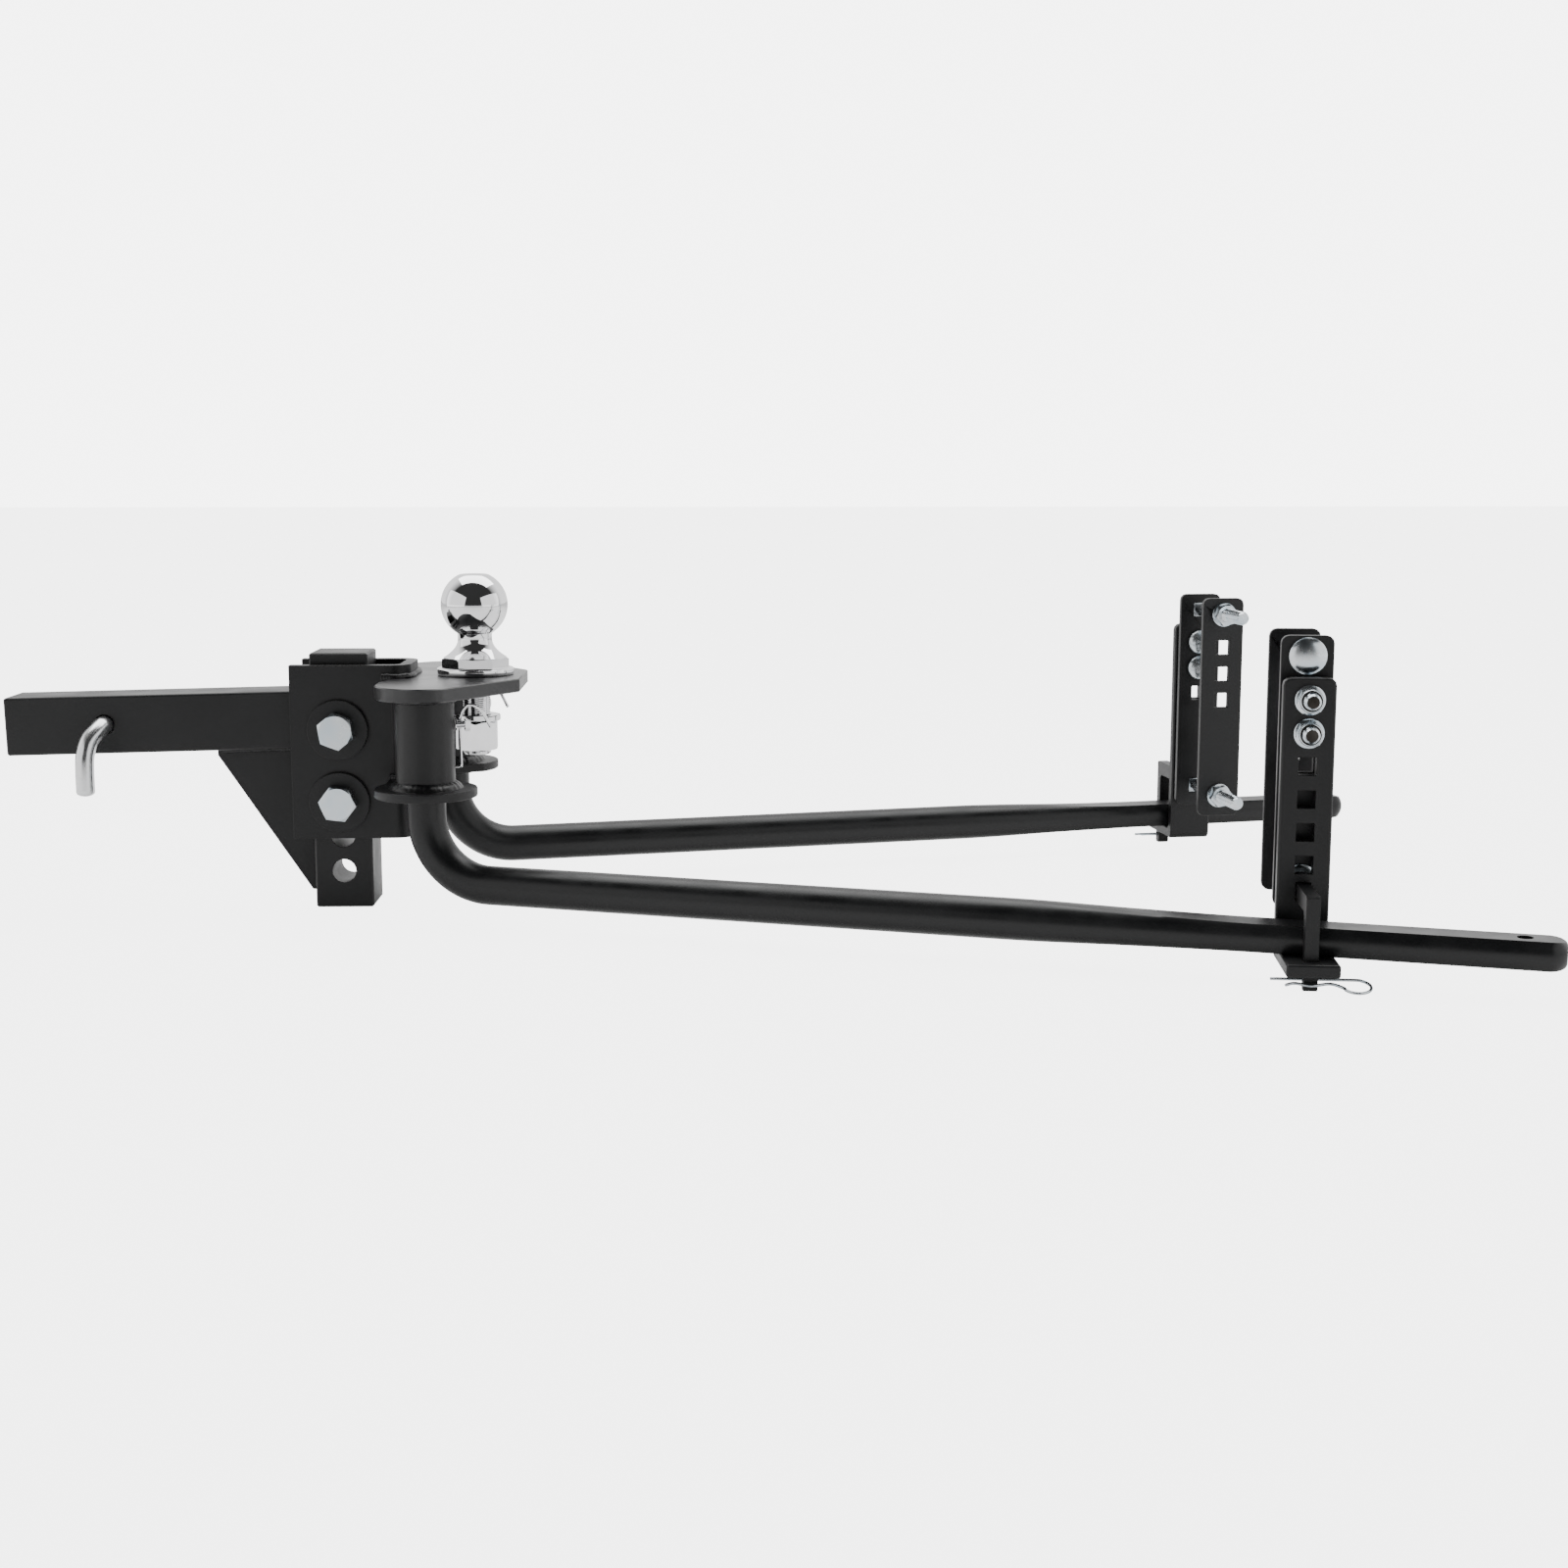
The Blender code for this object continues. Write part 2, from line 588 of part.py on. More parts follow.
def make_spring_bar(name, side):
    """A round bar that stands in its socket, bends through a right angle and flattens towards its end."""
    axis = add_empty(f"{name}_bar_axis", (SOCKET_X, side * SOCKET_Y, 0), SPRING_YAW[name])
    rings = []

    def stand(height, radius):
        section = make_spring_section(radius, radius, 0)
        rings.append([Vector((-v, u, height)) for u, v in section])

    stand(SPRING_TOP, SPRING_RADIUS - 0.003)
    stand(SPRING_TOP - 0.003, SPRING_RADIUS)
    stand(GROOVE_HEIGHT + GROOVE_HALF + 0.002, SPRING_RADIUS)
    stand(GROOVE_HEIGHT + GROOVE_HALF, GROOVE_RADIUS)
    stand(GROOVE_HEIGHT - GROOVE_HALF, GROOVE_RADIUS)
    stand(GROOVE_HEIGHT - GROOVE_HALF - 0.002, SPRING_RADIUS)
    bends = 8
    for step in range(bends + 1):
        angle = math.pi / 2 * step / bends
        drop = SPRING_HEIGHT + SPRING_BEND * (1 - math.sin(angle))
        centre = Vector((SPRING_BEND * (1 - math.cos(angle)), 0, drop))
        outward = Vector((-math.cos(angle), 0, -math.sin(angle)))
        section = make_spring_section(SPRING_RADIUS, SPRING_RADIUS, 0)
        rings.append([centre + Vector((0, u, 0)) + outward * v for u, v in section])

    def lie(along, half_width, half_height, flat):
        section = make_spring_section(half_width, half_height, flat)
        rings.append([Vector((along, u, SPRING_HEIGHT - v)) for u, v in section])

    flats = 8
    for step in range(flats + 1):
        t = step / flats
        blend = t * t * (3 - 2 * t)
        width = SPRING_RADIUS + (FLAT_HALF_WIDTH - SPRING_RADIUS) * blend
        lie(FLAT_START + (FLAT_FULL - FLAT_START) * t, width, FLAT_HALF_HEIGHT, blend)
    lie(SPRING_LENGTH - 0.010, FLAT_HALF_WIDTH, FLAT_HALF_HEIGHT, 1)
    lie(SPRING_LENGTH - 0.003, FLAT_HALF_WIDTH - 0.004, FLAT_HALF_HEIGHT - 0.0008, 1)
    lie(SPRING_LENGTH, FLAT_HALF_WIDTH - 0.0085, FLAT_HALF_HEIGHT - 0.003, 1)

    work = bmesh.new()
    loops = [[work.verts.new(point) for point in ring] for ring in rings]
    for first, second in zip(loops, loops[1:]):
        for index in range(SPRING_SIDES):
            after = (index + 1) % SPRING_SIDES
            work.faces.new((first[index], first[after], second[after], second[index]))
    work.faces.new(loops[0])
    work.faces.new(loops[-1])
    bar = add_object(f"{name}_spring_bar", mesh_from(work, "spring_bar"), POWDER_COAT, parent=axis)
    hole = cylinder_mesh("end_hole", SPRING_HOLE_RADIUS, 0, 0.08, 20)
    cut(bar, hole, (SPRING_LENGTH - SPRING_HOLE_FROM_END, 0, 0))
    return axis


def make_bar_clip(name, side):
    """A wire that swings on a bolt at the socket's rear, with a stub that reaches into the bar's groove."""
    pivot = (SOCKET_X, side * SOCKET_Y, BAR_CLIP_PIVOT)
    frame = add_empty(f"{name}_bar_clip_axis", pivot, BAR_CLIP_YAW[name])
    base = SOCKET_OUTER + GAP
    shaft = cylinder_mesh("clip_bolt", CLIP_BOLT_RADIUS, base, base + 0.010, 16)
    bolt = add_object(f"{name}_bar_clip_bolt", shaft, CHROME_PLATE, rotation=ALONG_X, parent=frame)
    head = cylinder_mesh("clip_bolt_head", CLIP_BOLT_CORNER, base + 0.0085, base + 0.013, 6)
    cut(bolt, head, operation="UNION")
    drop = GROOVE_HEIGHT - BAR_CLIP_PIVOT
    out = base + BAR_CLIP_OUT
    eye = CLIP_BOLT_RADIUS + GAP + BAR_CLIP_WIRE
    points = [Vector((SPRING_RADIUS - 0.0035, 0, drop)), Vector((SOCKET_OUTER - 0.004, 0, drop))]
    points += [Vector((out - 0.001, 0, drop + 0.0005)), Vector((out, 0, drop + 0.004))]
    points += [Vector((out, -side * eye * 0.8, drop * 0.5)), Vector((out, -side * eye, -0.003))]
    points += [Vector((out, -side * eye, 0.003)), Vector((out + 0.003, -side * eye * 0.6, 0.012))]
    points += [Vector((out + 0.009, 0, 0.0165)), Vector((out + 0.018, 0, 0.011))]
    points += [Vector((out + 0.026, 0, -0.003))]
    wire = wire_mesh("bar_clip", smooth_path(points, 3), BAR_CLIP_WIRE)
    add_object(f"{name}_bar_clip", wire, CHROME_PLATE, parent=frame)


def square_cutter(height):
    return box_mesh("square", (SQUARE_HOLE, 0.05, SQUARE_HOLE), (0, 0, height))


def rounded_rectangle(half_width, low, high, radius):
    points = arc((-half_width + radius, low + radius), radius, 180, 270, 3)
    points += arc((half_width - radius, low + radius), radius, 270, 360, 3)
    points += arc((half_width - radius, high - radius), radius, 0, 90, 3)
    points += arc((-half_width + radius, high - radius), radius, 90, 180, 3)
    return points


def make_link_plate(name, label, side, face, frame):
    """A flat bar whose outer face is at o = face, with square holes for carriage bolts."""
    points = rounded_rectangle(LINK_WIDTH / 2, LINK_BOTTOM, LINK_TOP, LINK_CORNER)
    mesh = outline_mesh("link_plate", points, LINK_THICKNESS)
    mesh.transform(Matrix.Rotation(math.radians(90), 4, "X"))
    middle = (0, side * (face - LINK_THICKNESS / 2), 0)
    plate = add_object(f"{name}_{label}_link_plate", mesh, POWDER_COAT, middle, parent=frame)
    heights = [TOP_SQUARE - index * SQUARE_PITCH for index in range(LINK_SQUARES)]
    for height in [*heights, *CLAMP_HEIGHTS.values()]:
        cut(plate, square_cutter(height))


def make_lift_bracket(name, side, frame):
    """An L of flat bar: the spring bar rests on its foot, and the retainer hooks through its slots."""
    inner = -LIFT_FACE - LIFT_THICKNESS
    bend = 0.006
    over = 0.001
    points = [(inner, LIFT_TOP + over), (-LIFT_FACE, LIFT_TOP + over)]
    foot_top = FOOT_BOTTOM + FOOT_THICKNESS
    points += [(-LIFT_FACE, foot_top + 0.002), (-LIFT_FACE + 0.002, foot_top), (FOOT_END, foot_top)]
    points += [(FOOT_END, FOOT_BOTTOM)]
    points += arc((inner + bend, FOOT_BOTTOM + bend), bend, 270, 180, 3)
    points = [(side * o, z) for o, z in points]
    mesh = outline_mesh("lift_bracket", points, LINK_WIDTH + 2 * over)
    mesh.transform(OUTLINE_ACROSS)
    bracket = add_object(f"{name}_lift_bracket", mesh, POWDER_COAT, parent=frame)
    face = rounded_rectangle(LINK_WIDTH / 2, -LINK_CORNER, LIFT_TOP, LINK_CORNER)
    sides = outline_mesh("bracket_sides", face, 3 * FOOT_END)
    cut(bracket, sides, rotation=UPRIGHT, operation="INTERSECT")
    bevel(bracket, 0.0012)
    for index in range(LIFT_SQUARES):
        cut(bracket, square_cutter(TOP_SQUARE - index * SQUARE_PITCH), (0, -side * LIFT_FACE, 0))
    slot = (2 * RETAINER_HALF + 0.0008, 0.05, ARM_HEIGHT + 0.0008)
    shift = RETAINER_SHIFT[name]
    arm = RETAINER_TOP[name] - ARM_HEIGHT / 2
    cut(bracket, box_mesh("arm_slot", slot), (shift, -side * LIFT_FACE, arm))
    slot = (2 * RETAINER_HALF + 0.0008, RETAINER_LEG + 0.0008, 0.05)
    middle = RETAINER_INNER + RETAINER_LEG / 2
    cut(bracket, box_mesh("leg_slot", slot), (shift, side * middle, FOOT_BOTTOM))


def make_retainer(name, side, frame):
    """A hook of flat bar: its arm lies in the lift bracket and its leg goes down through the foot."""
    outer = RETAINER_INNER + RETAINER_LEG
    top = RETAINER_TOP[name]
    arm = top - ARM_HEIGHT
    fillet = 0.003
    inner = -LIFT_FACE - LIFT_THICKNESS
    points = [(inner, top), (inner, arm)]
    points += [(RETAINER_INNER - fillet, arm), (RETAINER_INNER, arm - fillet)]
    points += [(RETAINER_INNER, TIP_TAPER), (RETAINER_INNER + TIP_TAPER, 0), (outer - TIP_TAPER, 0)]
    points += [(outer, TIP_TAPER), (outer, top - 0.0015), (outer - 0.0015, top)]
    points = [(side * o, z) for o, z in points]
    mesh = outline_mesh("retainer", points, 2 * RETAINER_HALF)
    mesh.transform(OUTLINE_ACROSS)
    place = (RETAINER_SHIFT[name], 0, 0)
    retainer = add_object(f"{name}_retainer", mesh, POWDER_COAT, place, parent=frame)
    hole = cylinder_mesh("clip_hole", CLIP_HOLE_RADIUS, -0.02, 0.02, 12)
    middle = RETAINER_INNER + RETAINER_LEG / 2
    cut(retainer, hole, (0, side * middle, CLIP_HEIGHT), ALONG_X)


def make_retainer_clip(name, side, frame):
    middle = RETAINER_INNER + RETAINER_LEG / 2
    place = (RETAINER_SHIFT[name], side * middle, CLIP_HEIGHT)
    clip_frame = add_empty(f"{name}_retainer_clip_axis", place, parent=frame)
    near = RETAINER_LEG / 2 + 0.0019
    points = r_clip_points(0.033, near, near + 0.0035, 0.0, 0.0105)
    wire = wire_mesh("retainer_clip", smooth_path(points, 2), CLIP_WIRE)
    wire.transform(Matrix.Diagonal((1, side, 1, 1)))
    wire.transform(Matrix.Rotation(-side * CLIP_TILT, 4, "X"))
    if side < 0:
        wire.flip_normals()
    add_object(f"{name}_retainer_clip", wire, ZINC_PLATE, parent=clip_frame)


def carriage_bolt(name, side, frame, height, face, length, head_radius):
    """A round-headed bolt whose head sits outside o = face, or inside it when length is negative."""
    way = -1 if length > 0 else 1
    head = face - way * GAP
    profile = [(0, CARRIAGE_HEAD_HEIGHT)]
    for step in range(1, 5):
        t = step / 4
        dome = (CARRIAGE_HEAD_HEIGHT - HEAD_EDGE) * math.sqrt(1 - 0.96 * t * t)
        profile.append((head_radius * t, HEAD_EDGE + dome))
    profile += [(head_radius, 0), (CARRIAGE_RADIUS, 0), (CARRIAGE_RADIUS, 0.001 - abs(length))]
    profile += [(CARRIAGE_RADIUS - 0.001, -abs(length)), (0, -abs(length))]
    mesh = turned_mesh("carriage_bolt", profile, 16)
    toward = side * way
    turn = (math.radians(90 * toward), 0, 0)
    bolt = add_object(name, mesh, ZINC_PLATE, (0, side * head, height), turn, frame)
    neck = SQUARE_HOLE - 2 * GAP
    block = box_mesh("square_neck", (neck, neck, 0.006), (0, 0, -0.002))
    cut(bolt, block, operation="UNION")


def hex_nut(name, side, frame, height, face, outward):
    """A hex nut with a round flange, seated at o = face; outward is 1 where it stands outside the face."""
    low = face + outward * GAP
    mesh = cylinder_mesh("nut", NUT_CORNER, 0.0015, NUT_HEIGHT, 6, turn=math.radians(12))
    turn = math.radians(-90 * side * outward)
    nut = add_object(name, mesh, ZINC_PLATE, (0, side * low, height), (turn, 0, 0), frame)
    flange = cylinder_mesh("nut_flange", NUT_FLANGE_RADIUS, 0, 0.0022, 18)
    cut(nut, flange, operation="UNION")
    cut(nut, cylinder_mesh("bore", CARRIAGE_RADIUS + GAP, -0.01, 0.03, 16))


def make_bracket(name, side, bar_axis):
    yaw = BRACKET_YAW[name] - SPRING_YAW[name]
    frame = add_empty(f"{name}_bracket_axis", (BRACKET_AT[name], 0, 0), yaw, bar_axis)
    make_lift_bracket(name, side, frame)
    make_retainer(name, side, frame)
    make_retainer_clip(name, side, frame)
    lift_inner = -LIFT_FACE - LIFT_THICKNESS
    outer_face = lift_inner - 2 * GAP - SPACER_THICKNESS
    inner_face = outer_face - LINK_THICKNESS - FRAME_GAP
    make_link_plate(name, "outer", side, outer_face, frame)
    make_link_plate(name, "inner", side, inner_face, frame)
    for label, height in CLAMP_HEIGHTS.items():
        bolt = f"{name}_{label}_clamp_bolt"
        carriage_bolt(bolt, side, frame, height, outer_face, CLAMP_LENGTH, CLAMP_HEAD_RADIUS)
        hex_nut(f"{name}_{label}_clamp_nut", side, frame, height, inner_face - LINK_THICKNESS, -1)
    for index, label in enumerate(("upper", "lower")):
        height = TOP_SQUARE - index * SQUARE_PITCH
        back = outer_face - LINK_THICKNESS
        bolt = f"{name}_{label}_lift_bolt"
        carriage_bolt(bolt, side, frame, height, back, -LIFT_BOLT_LENGTH, LIFT_HEAD_RADIUS)
        hex_nut(f"{name}_{label}_lift_nut", side, frame, height, -LIFT_FACE, 1)
        low = outer_face + GAP
        ring = ring_mesh("spacer", SPACER_INNER, SPACER_OUTER, low, low + SPACER_THICKNESS, 18)
        spacer = add_object(f"{name}_{label}_spacer", ring, ZINC_PLATE, (0, 0, height), parent=frame)
        spacer.rotation_euler = (math.radians(-90 * side), 0, 0)


def main():
    make_shank()
    make_drop_bar()
    make_gusset()
    make_channel()
    make_ball_plate()
    make_tow_ball()
    make_ball_nut()
    for name, index in MAIN_BOLT_HOLES.items():
        make_main_bolt(name, index)
    make_hitch_pin()
    for name, side in SIDES.items():
        make_socket(name, side)
        make_bar_clip(name, side)
        bar_axis = make_spring_bar(name, side)
        make_bracket(name, side, bar_axis)


main()
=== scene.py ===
"""The looks of a weight distribution hitch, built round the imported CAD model. Metres, +Z up.

The shank points along -X and the spring bars along +X. Left is -Y, the side that the camera sees first.
Plates, socket tubes, washers and spacers are the CAD solids with rounded edges. The ball, the spring bars,
the bolts, nuts and wires are built anew, and the weld beads are added.
"""

import json
import math

import bmesh
import bpy
from mathutils import Matrix, Vector, noise


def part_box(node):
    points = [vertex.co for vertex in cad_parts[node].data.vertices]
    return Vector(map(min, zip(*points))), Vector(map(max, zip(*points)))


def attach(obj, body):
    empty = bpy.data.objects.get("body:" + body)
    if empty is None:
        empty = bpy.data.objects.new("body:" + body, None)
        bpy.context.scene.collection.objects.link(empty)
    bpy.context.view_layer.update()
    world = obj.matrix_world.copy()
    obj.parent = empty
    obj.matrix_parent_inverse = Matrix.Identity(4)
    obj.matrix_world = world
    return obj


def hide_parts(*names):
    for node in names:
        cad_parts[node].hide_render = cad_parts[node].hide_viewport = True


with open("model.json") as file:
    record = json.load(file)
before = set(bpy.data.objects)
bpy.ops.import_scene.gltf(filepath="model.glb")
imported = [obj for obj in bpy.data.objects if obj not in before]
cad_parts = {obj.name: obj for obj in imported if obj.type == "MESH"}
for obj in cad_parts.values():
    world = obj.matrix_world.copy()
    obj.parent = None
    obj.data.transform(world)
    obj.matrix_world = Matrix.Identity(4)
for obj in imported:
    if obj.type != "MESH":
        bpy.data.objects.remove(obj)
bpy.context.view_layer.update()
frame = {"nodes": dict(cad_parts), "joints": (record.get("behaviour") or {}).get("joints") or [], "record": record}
NODES = frame["nodes"]
JOINTS = {joint["name"]: joint for joint in frame["joints"]}
BODIES = frame["record"]["behaviour"]["bodies"]
BODY_OF = {node: body for body, members in BODIES.items() for node in members}
SIDES = {"left": -1, "right": 1}
LEVELS = ("upper", "lower")
ALONG_Y = Matrix.Rotation(math.radians(-90), 4, "X")

# Studio
BACKDROP = 6.0
ROOM_FRONT = 0.05
ROOM_BACK = 1.9
FLOOR_GLOW = 0.8
FLOOR_BOUNCE = 0.05
FLOOR_SIZE = (30.0, 30.0)
WALL_HEIGHT = 0.75
WALL_SIZE = (2.9, 1.35)
WALL_POWER = 17
SOFTBOX_SIZE = (2.6, 1.5)
SOFTBOX_POWER = 48

# Camera
CAMERA_PLACE = (0.3360, -1.9172, 0.3968)
CAMERA_TURN = (math.radians(81.35), 0.0, math.radians(-1.62))
CAMERA_LENS = 49.64

# Rounded edges of the plates
EDGE_ANGLE = math.radians(34)
EDGE_SEGMENTS = 2
HEAD_EDGES = {"shank": 0.0008, "drop_bar": 0.0008, "gusset": 0.0008, "head_channel": 0.0012}
BALL_PLATE_EDGE = 0.0008
WASHER_EDGE = 0.0006
SPACER_EDGE = 0.0004
SIDE_EDGES = {
    "socket_tube": 0.0008,
    "lower_plate": 0.0010,
    "lift_bracket": 0.0006,
    "outer_link_plate": 0.0007,
    "inner_link_plate": 0.0007,
    "retainer": 0.0007,
}

# Degrees past which an edge is shaded sharp
FACET_ANGLE = 28.0
PLAIN_ANGLE = 35.0
ROUND_ANGLE = 38.0
BOLT_ANGLE = 40.0
FILLET_ANGLE = 50.0
WIRE_ANGLE = 60.0
BEAD_ANGLE = 80.0

# Round and threaded pieces
BALL_SIDES = 96
HEAD_SIDES = 48
SHANK_SIDES = 40
THREAD_SIDES = 32
WIRE_SIDES = 16
ROWS_PER_TURN = 6
THREAD_DEPTH = 0.55
CREST_SLOPE = 1.25
CREST_FLAT = 0.1
THREAD_CHAMFER = 0.8
HEX_STEPS = 48
HEX_SEAT = 0.975
HEX_CHAMFER = math.tan(math.radians(28))
DOME_TURNS = (25, 50, 72)
DOME_SHARE = 0.45
HALF_INCH_PITCH = 0.00195
THREE_QUARTER_PITCH = 0.00254
BALL_PITCH = 0.0018

# Tow ball, from the plate's top
BALL_RADIUS = 0.02935
BALL_FLAT = 0.0268
BALL_NECK = 0.0150
FLARE_TOP = 0.0318
BALL_HEX_TOP = 0.0152
BALL_HEX_CORNER = 0.0295
BALL_HEX_TURN = math.radians(6.5)
BALL_NUT_TURN = math.radians(-87)
BALL_FLANGE = 0.0062
BALL_STEPS = 44
FLARE_STEPS = 16
FLARE_POWER = 2.1
BALL_SHANK = 0.0127
LOCK_START = -56
LOCK_SWEEP = 353
LOCK_LIFT = 0.0012
LOCK_STEPS = 72

# Spring bars
BAR_SIDES = 48
BAR_RADIUS = 0.01665
BAR_BEND = 0.058
BAR_GROOVE = 0.133
GROOVE_HALF = 0.0045
GROOVE_RADIUS = 0.0125
FLAT_START = 0.500
FLAT_FULL = 0.700
FLAT_HALF_WIDTH = 0.017
FLAT_HALF_HEIGHT = 0.011
FLAT_SIDE_SHARE = 2 / 3
TRUNNION_EDGE = 0.0025
BEND_STEPS = 28
FLAT_STEPS = 24
BAR_HOLE = 0.006
BAR_HOLE_FROM_END = 0.030

# Bolts
CARRIAGE_RADIUS = 0.00635
CARRIAGE_HEAD_HEIGHT = 0.0068
CARRIAGE_RIM = 0.0014
SQUARE_NECK = 0.0132
BOLT_THREADS = {"clamp": 0.055, "lift": 0.036}
NUT_CORNER = 0.0108
COLLAR_OUTER = 0.0088
COLLAR_INNER = 0.0078
NUT_TURN = math.radians(12)
MAIN_RADIUS = 0.0095
MAIN_CORNER = 0.0165
MAIN_HEAD = 0.012
MAIN_TURN = {"upper": math.radians(-21), "lower": math.radians(-7)}

# Welds
WELD_SCALE = 0.0024
LUMP_NOISE = 240
SWELL_NOISE = 90
BEAD_SIDES = 14
BEAD_STEP = 0.0006
FILLET_STEPS = 240
FILLET_PARTS = 8
CHANNEL_CORNER = 0.016
GUSSET_SHANK_BEAD = 0.0028
GUSSET_DROP_BEAD = 0.0032
SHANK_BEAD = 0.0030
CHANNEL_BEAD = 0.0036
UNDER_PLATE_BEAD = 0.0030
TUBE_TOP_BEAD = 0.0026
TUBE_FOOT_BEAD = 0.0016
LOWER_PLATE_BEAD = 0.0038
TUBE_FILLET = 0.0068

# Wires
CLIP_WIRE = 0.0012
BAR_CLIP_WIRE = 0.0014
PIN_RADIUS = 0.0079
CLIP_BOLT_RADIUS = 0.0032
CLIP_BOLT_PITCH = 0.0010
CLIP_BOLT_CORNER = 0.0062
RETAINER_LEG = 0.010
RETAINER_CLIP_TILT = math.radians(14)


# ---------------------------------------------------------------- materials

CLOUD_SCALE = 28.0
SPECK_SCALE = 900.0
PATCH_SCALE = 60.0

def new_material(name):
    made = bpy.data.materials.new(name)
    made.use_nodes = True
    tree = made.node_tree
    shader = tree.nodes["Principled BSDF"]
    place = tree.nodes.new("ShaderNodeTexCoord")
    return made, tree, shader, place.outputs["Object"]


def add_noise(tree, place, scale, detail=3.0, stretch=None):
    """A noise texture's factor; stretch scales its coordinates for streaks."""
    if stretch:
        mapping = tree.nodes.new("ShaderNodeMapping")
        mapping.inputs["Scale"].default_value = stretch
        tree.links.new(place, mapping.inputs["Vector"])
        place = mapping.outputs["Vector"]
    made = tree.nodes.new("ShaderNodeTexNoise")
    made.inputs["Scale"].default_value = scale
    made.inputs["Detail"].default_value = detail
    tree.links.new(place, made.inputs["Vector"])
    return made.outputs["Fac"]


def add_range(tree, value, low, high, start=0.35, end=0.65):
    made = tree.nodes.new("ShaderNodeMapRange")
    for name, number in (("From Min", start), ("From Max", end), ("To Min", low), ("To Max", high)):
        made.inputs[name].default_value = number
    tree.links.new(value, made.inputs["Value"])
    return made.outputs["Result"]


def add_colours(tree, value, first, second):
    made = tree.nodes.new("ShaderNodeValToRGB")
    made.color_ramp.elements[0].position = 0.38
    made.color_ramp.elements[0].color = (*first, 1.0)
    made.color_ramp.elements[1].position = 0.62
    made.color_ramp.elements[1].color = (*second, 1.0)
    tree.links.new(value, made.inputs["Fac"])
    return made.outputs["Color"]


def add_bumps(tree, shader, heights):
    """Chains a Bump node for each (height, strength, distance)."""
    normal = None
    for height, strength, distance in heights:
        made = tree.nodes.new("ShaderNodeBump")
        made.inputs["Strength"].default_value = strength
        made.inputs["Distance"].default_value = distance
        tree.links.new(height, made.inputs["Height"])
        if normal:
            tree.links.new(normal, made.inputs["Normal"])
        normal = made.outputs["Normal"]
    tree.links.new(normal, shader.inputs["Normal"])


def coated(name, dark, light, rough, grain, depth, coat=0.0):
    """Black powder coat: a fine orange peel, with faint clouds in its colour and its gloss."""
    made, tree, shader, place = new_material(name)
    clouds = add_noise(tree, place, CLOUD_SCALE, 5.0)
    speck = add_noise(tree, place, SPECK_SCALE, 2.0)
    tree.links.new(add_colours(tree, clouds, dark, light), shader.inputs["Base Color"])
    tree.links.new(add_range(tree, clouds, rough - 0.05, rough + 0.06), shader.inputs["Roughness"])
    shader.inputs["Specular IOR Level"].default_value = 0.35
    shader.inputs["Coat Weight"].default_value = coat
    shader.inputs["Coat Roughness"].default_value = 0.22
    peel = add_noise(tree, place, grain, 2.0)
    add_bumps(tree, shader, [(peel, 0.35, depth), (speck, 0.20, depth * 0.35)])
    return made


def plated(name, first, second, low, high, scratch, depth):
    """Bright plate: patches of two tints, uneven gloss and fine scratches."""
    made, tree, shader, place = new_material(name)
    patches = add_noise(tree, place, PATCH_SCALE, 4.0)
    lines = add_noise(tree, place, scratch, 4.0, (1.0, 1.0, 9.0))
    tree.links.new(add_colours(tree, patches, first, second), shader.inputs["Base Color"])
    tree.links.new(add_range(tree, patches, low, high), shader.inputs["Roughness"])
    shader.inputs["Metallic"].default_value = 1.0
    add_bumps(tree, shader, [(lines, 0.25, depth)])
    return made


POWDER = coated("powder_coat", (0.0055, 0.0055, 0.0060), (0.0085, 0.0085, 0.0090), 0.40, 420.0, 0.00012)
GLOSSY_POWDER = coated(
    "glossy_powder_coat", (0.010, 0.010, 0.011), (0.015, 0.015, 0.016), 0.34, 260.0, 0.00012, 0.35
)
BAR_PAINT = coated("bar_paint", (0.0055, 0.0055, 0.0060), (0.0080, 0.0080, 0.0086), 0.34, 600.0, 0.00010)
WELD_PAINT = coated("weld_paint", (0.0060, 0.0060, 0.0065), (0.011, 0.011, 0.012), 0.34, 300.0, 0.0002)
CHROME = plated("chrome_plate", (0.80, 0.80, 0.81), (0.86, 0.86, 0.87), 0.03, 0.07, 300.0, 0.000004)
ZINC = plated("zinc_plate", (0.52, 0.59, 0.64), (0.68, 0.71, 0.73), 0.16, 0.30, 420.0, 0.00004)
PIN_ZINC = plated("pin_zinc_plate", (0.70, 0.71, 0.72), (0.80, 0.80, 0.80), 0.22, 0.34, 380.0, 0.00003)
BOLT_FACE = plated("dark_bolt_end", (0.030, 0.027, 0.024), (0.070, 0.064, 0.058), 0.45, 0.60, 500.0, 0.00005)


# ---------------------------------------------------------------- mesh tools


def spans(node, turn):
    """A node's lowest and highest corners, measured along the columns of turn."""
    points = [turn.transposed() @ vertex.co for vertex in NODES[node].data.vertices]
    low = Vector([min(point[axis] for point in points) for axis in range(3)])
    high = Vector([max(point[axis] for point in points) for axis in range(3)])
    return low, high


def finish_piece(name, work, material, body, place=None, smooth=PLAIN_ANGLE, nodes=()):
    """Makes a bmesh an object that rides on a body and stands for the CAD nodes."""
    bmesh.ops.recalc_face_normals(work, faces=work.faces)
    mesh = bpy.data.meshes.new(name)
    work.to_mesh(mesh)
    work.free()
    if place:
        mesh.transform(place)
    mesh.shade_smooth()
    mesh.set_sharp_from_angle(angle=math.radians(smooth))
    mesh.materials.append(material)
    made = bpy.data.objects.new(name, mesh)
    bpy.context.scene.collection.objects.link(made)
    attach(made, body)
    if nodes:
        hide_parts(*nodes)
    return made


def stand_in(node, work, material, place=None, smooth=PLAIN_ANGLE):
    """A finer piece in place of one CAD node."""
    return finish_piece(f"fine_{node}", work, material, BODY_OF[node], place, smooth, (node,))


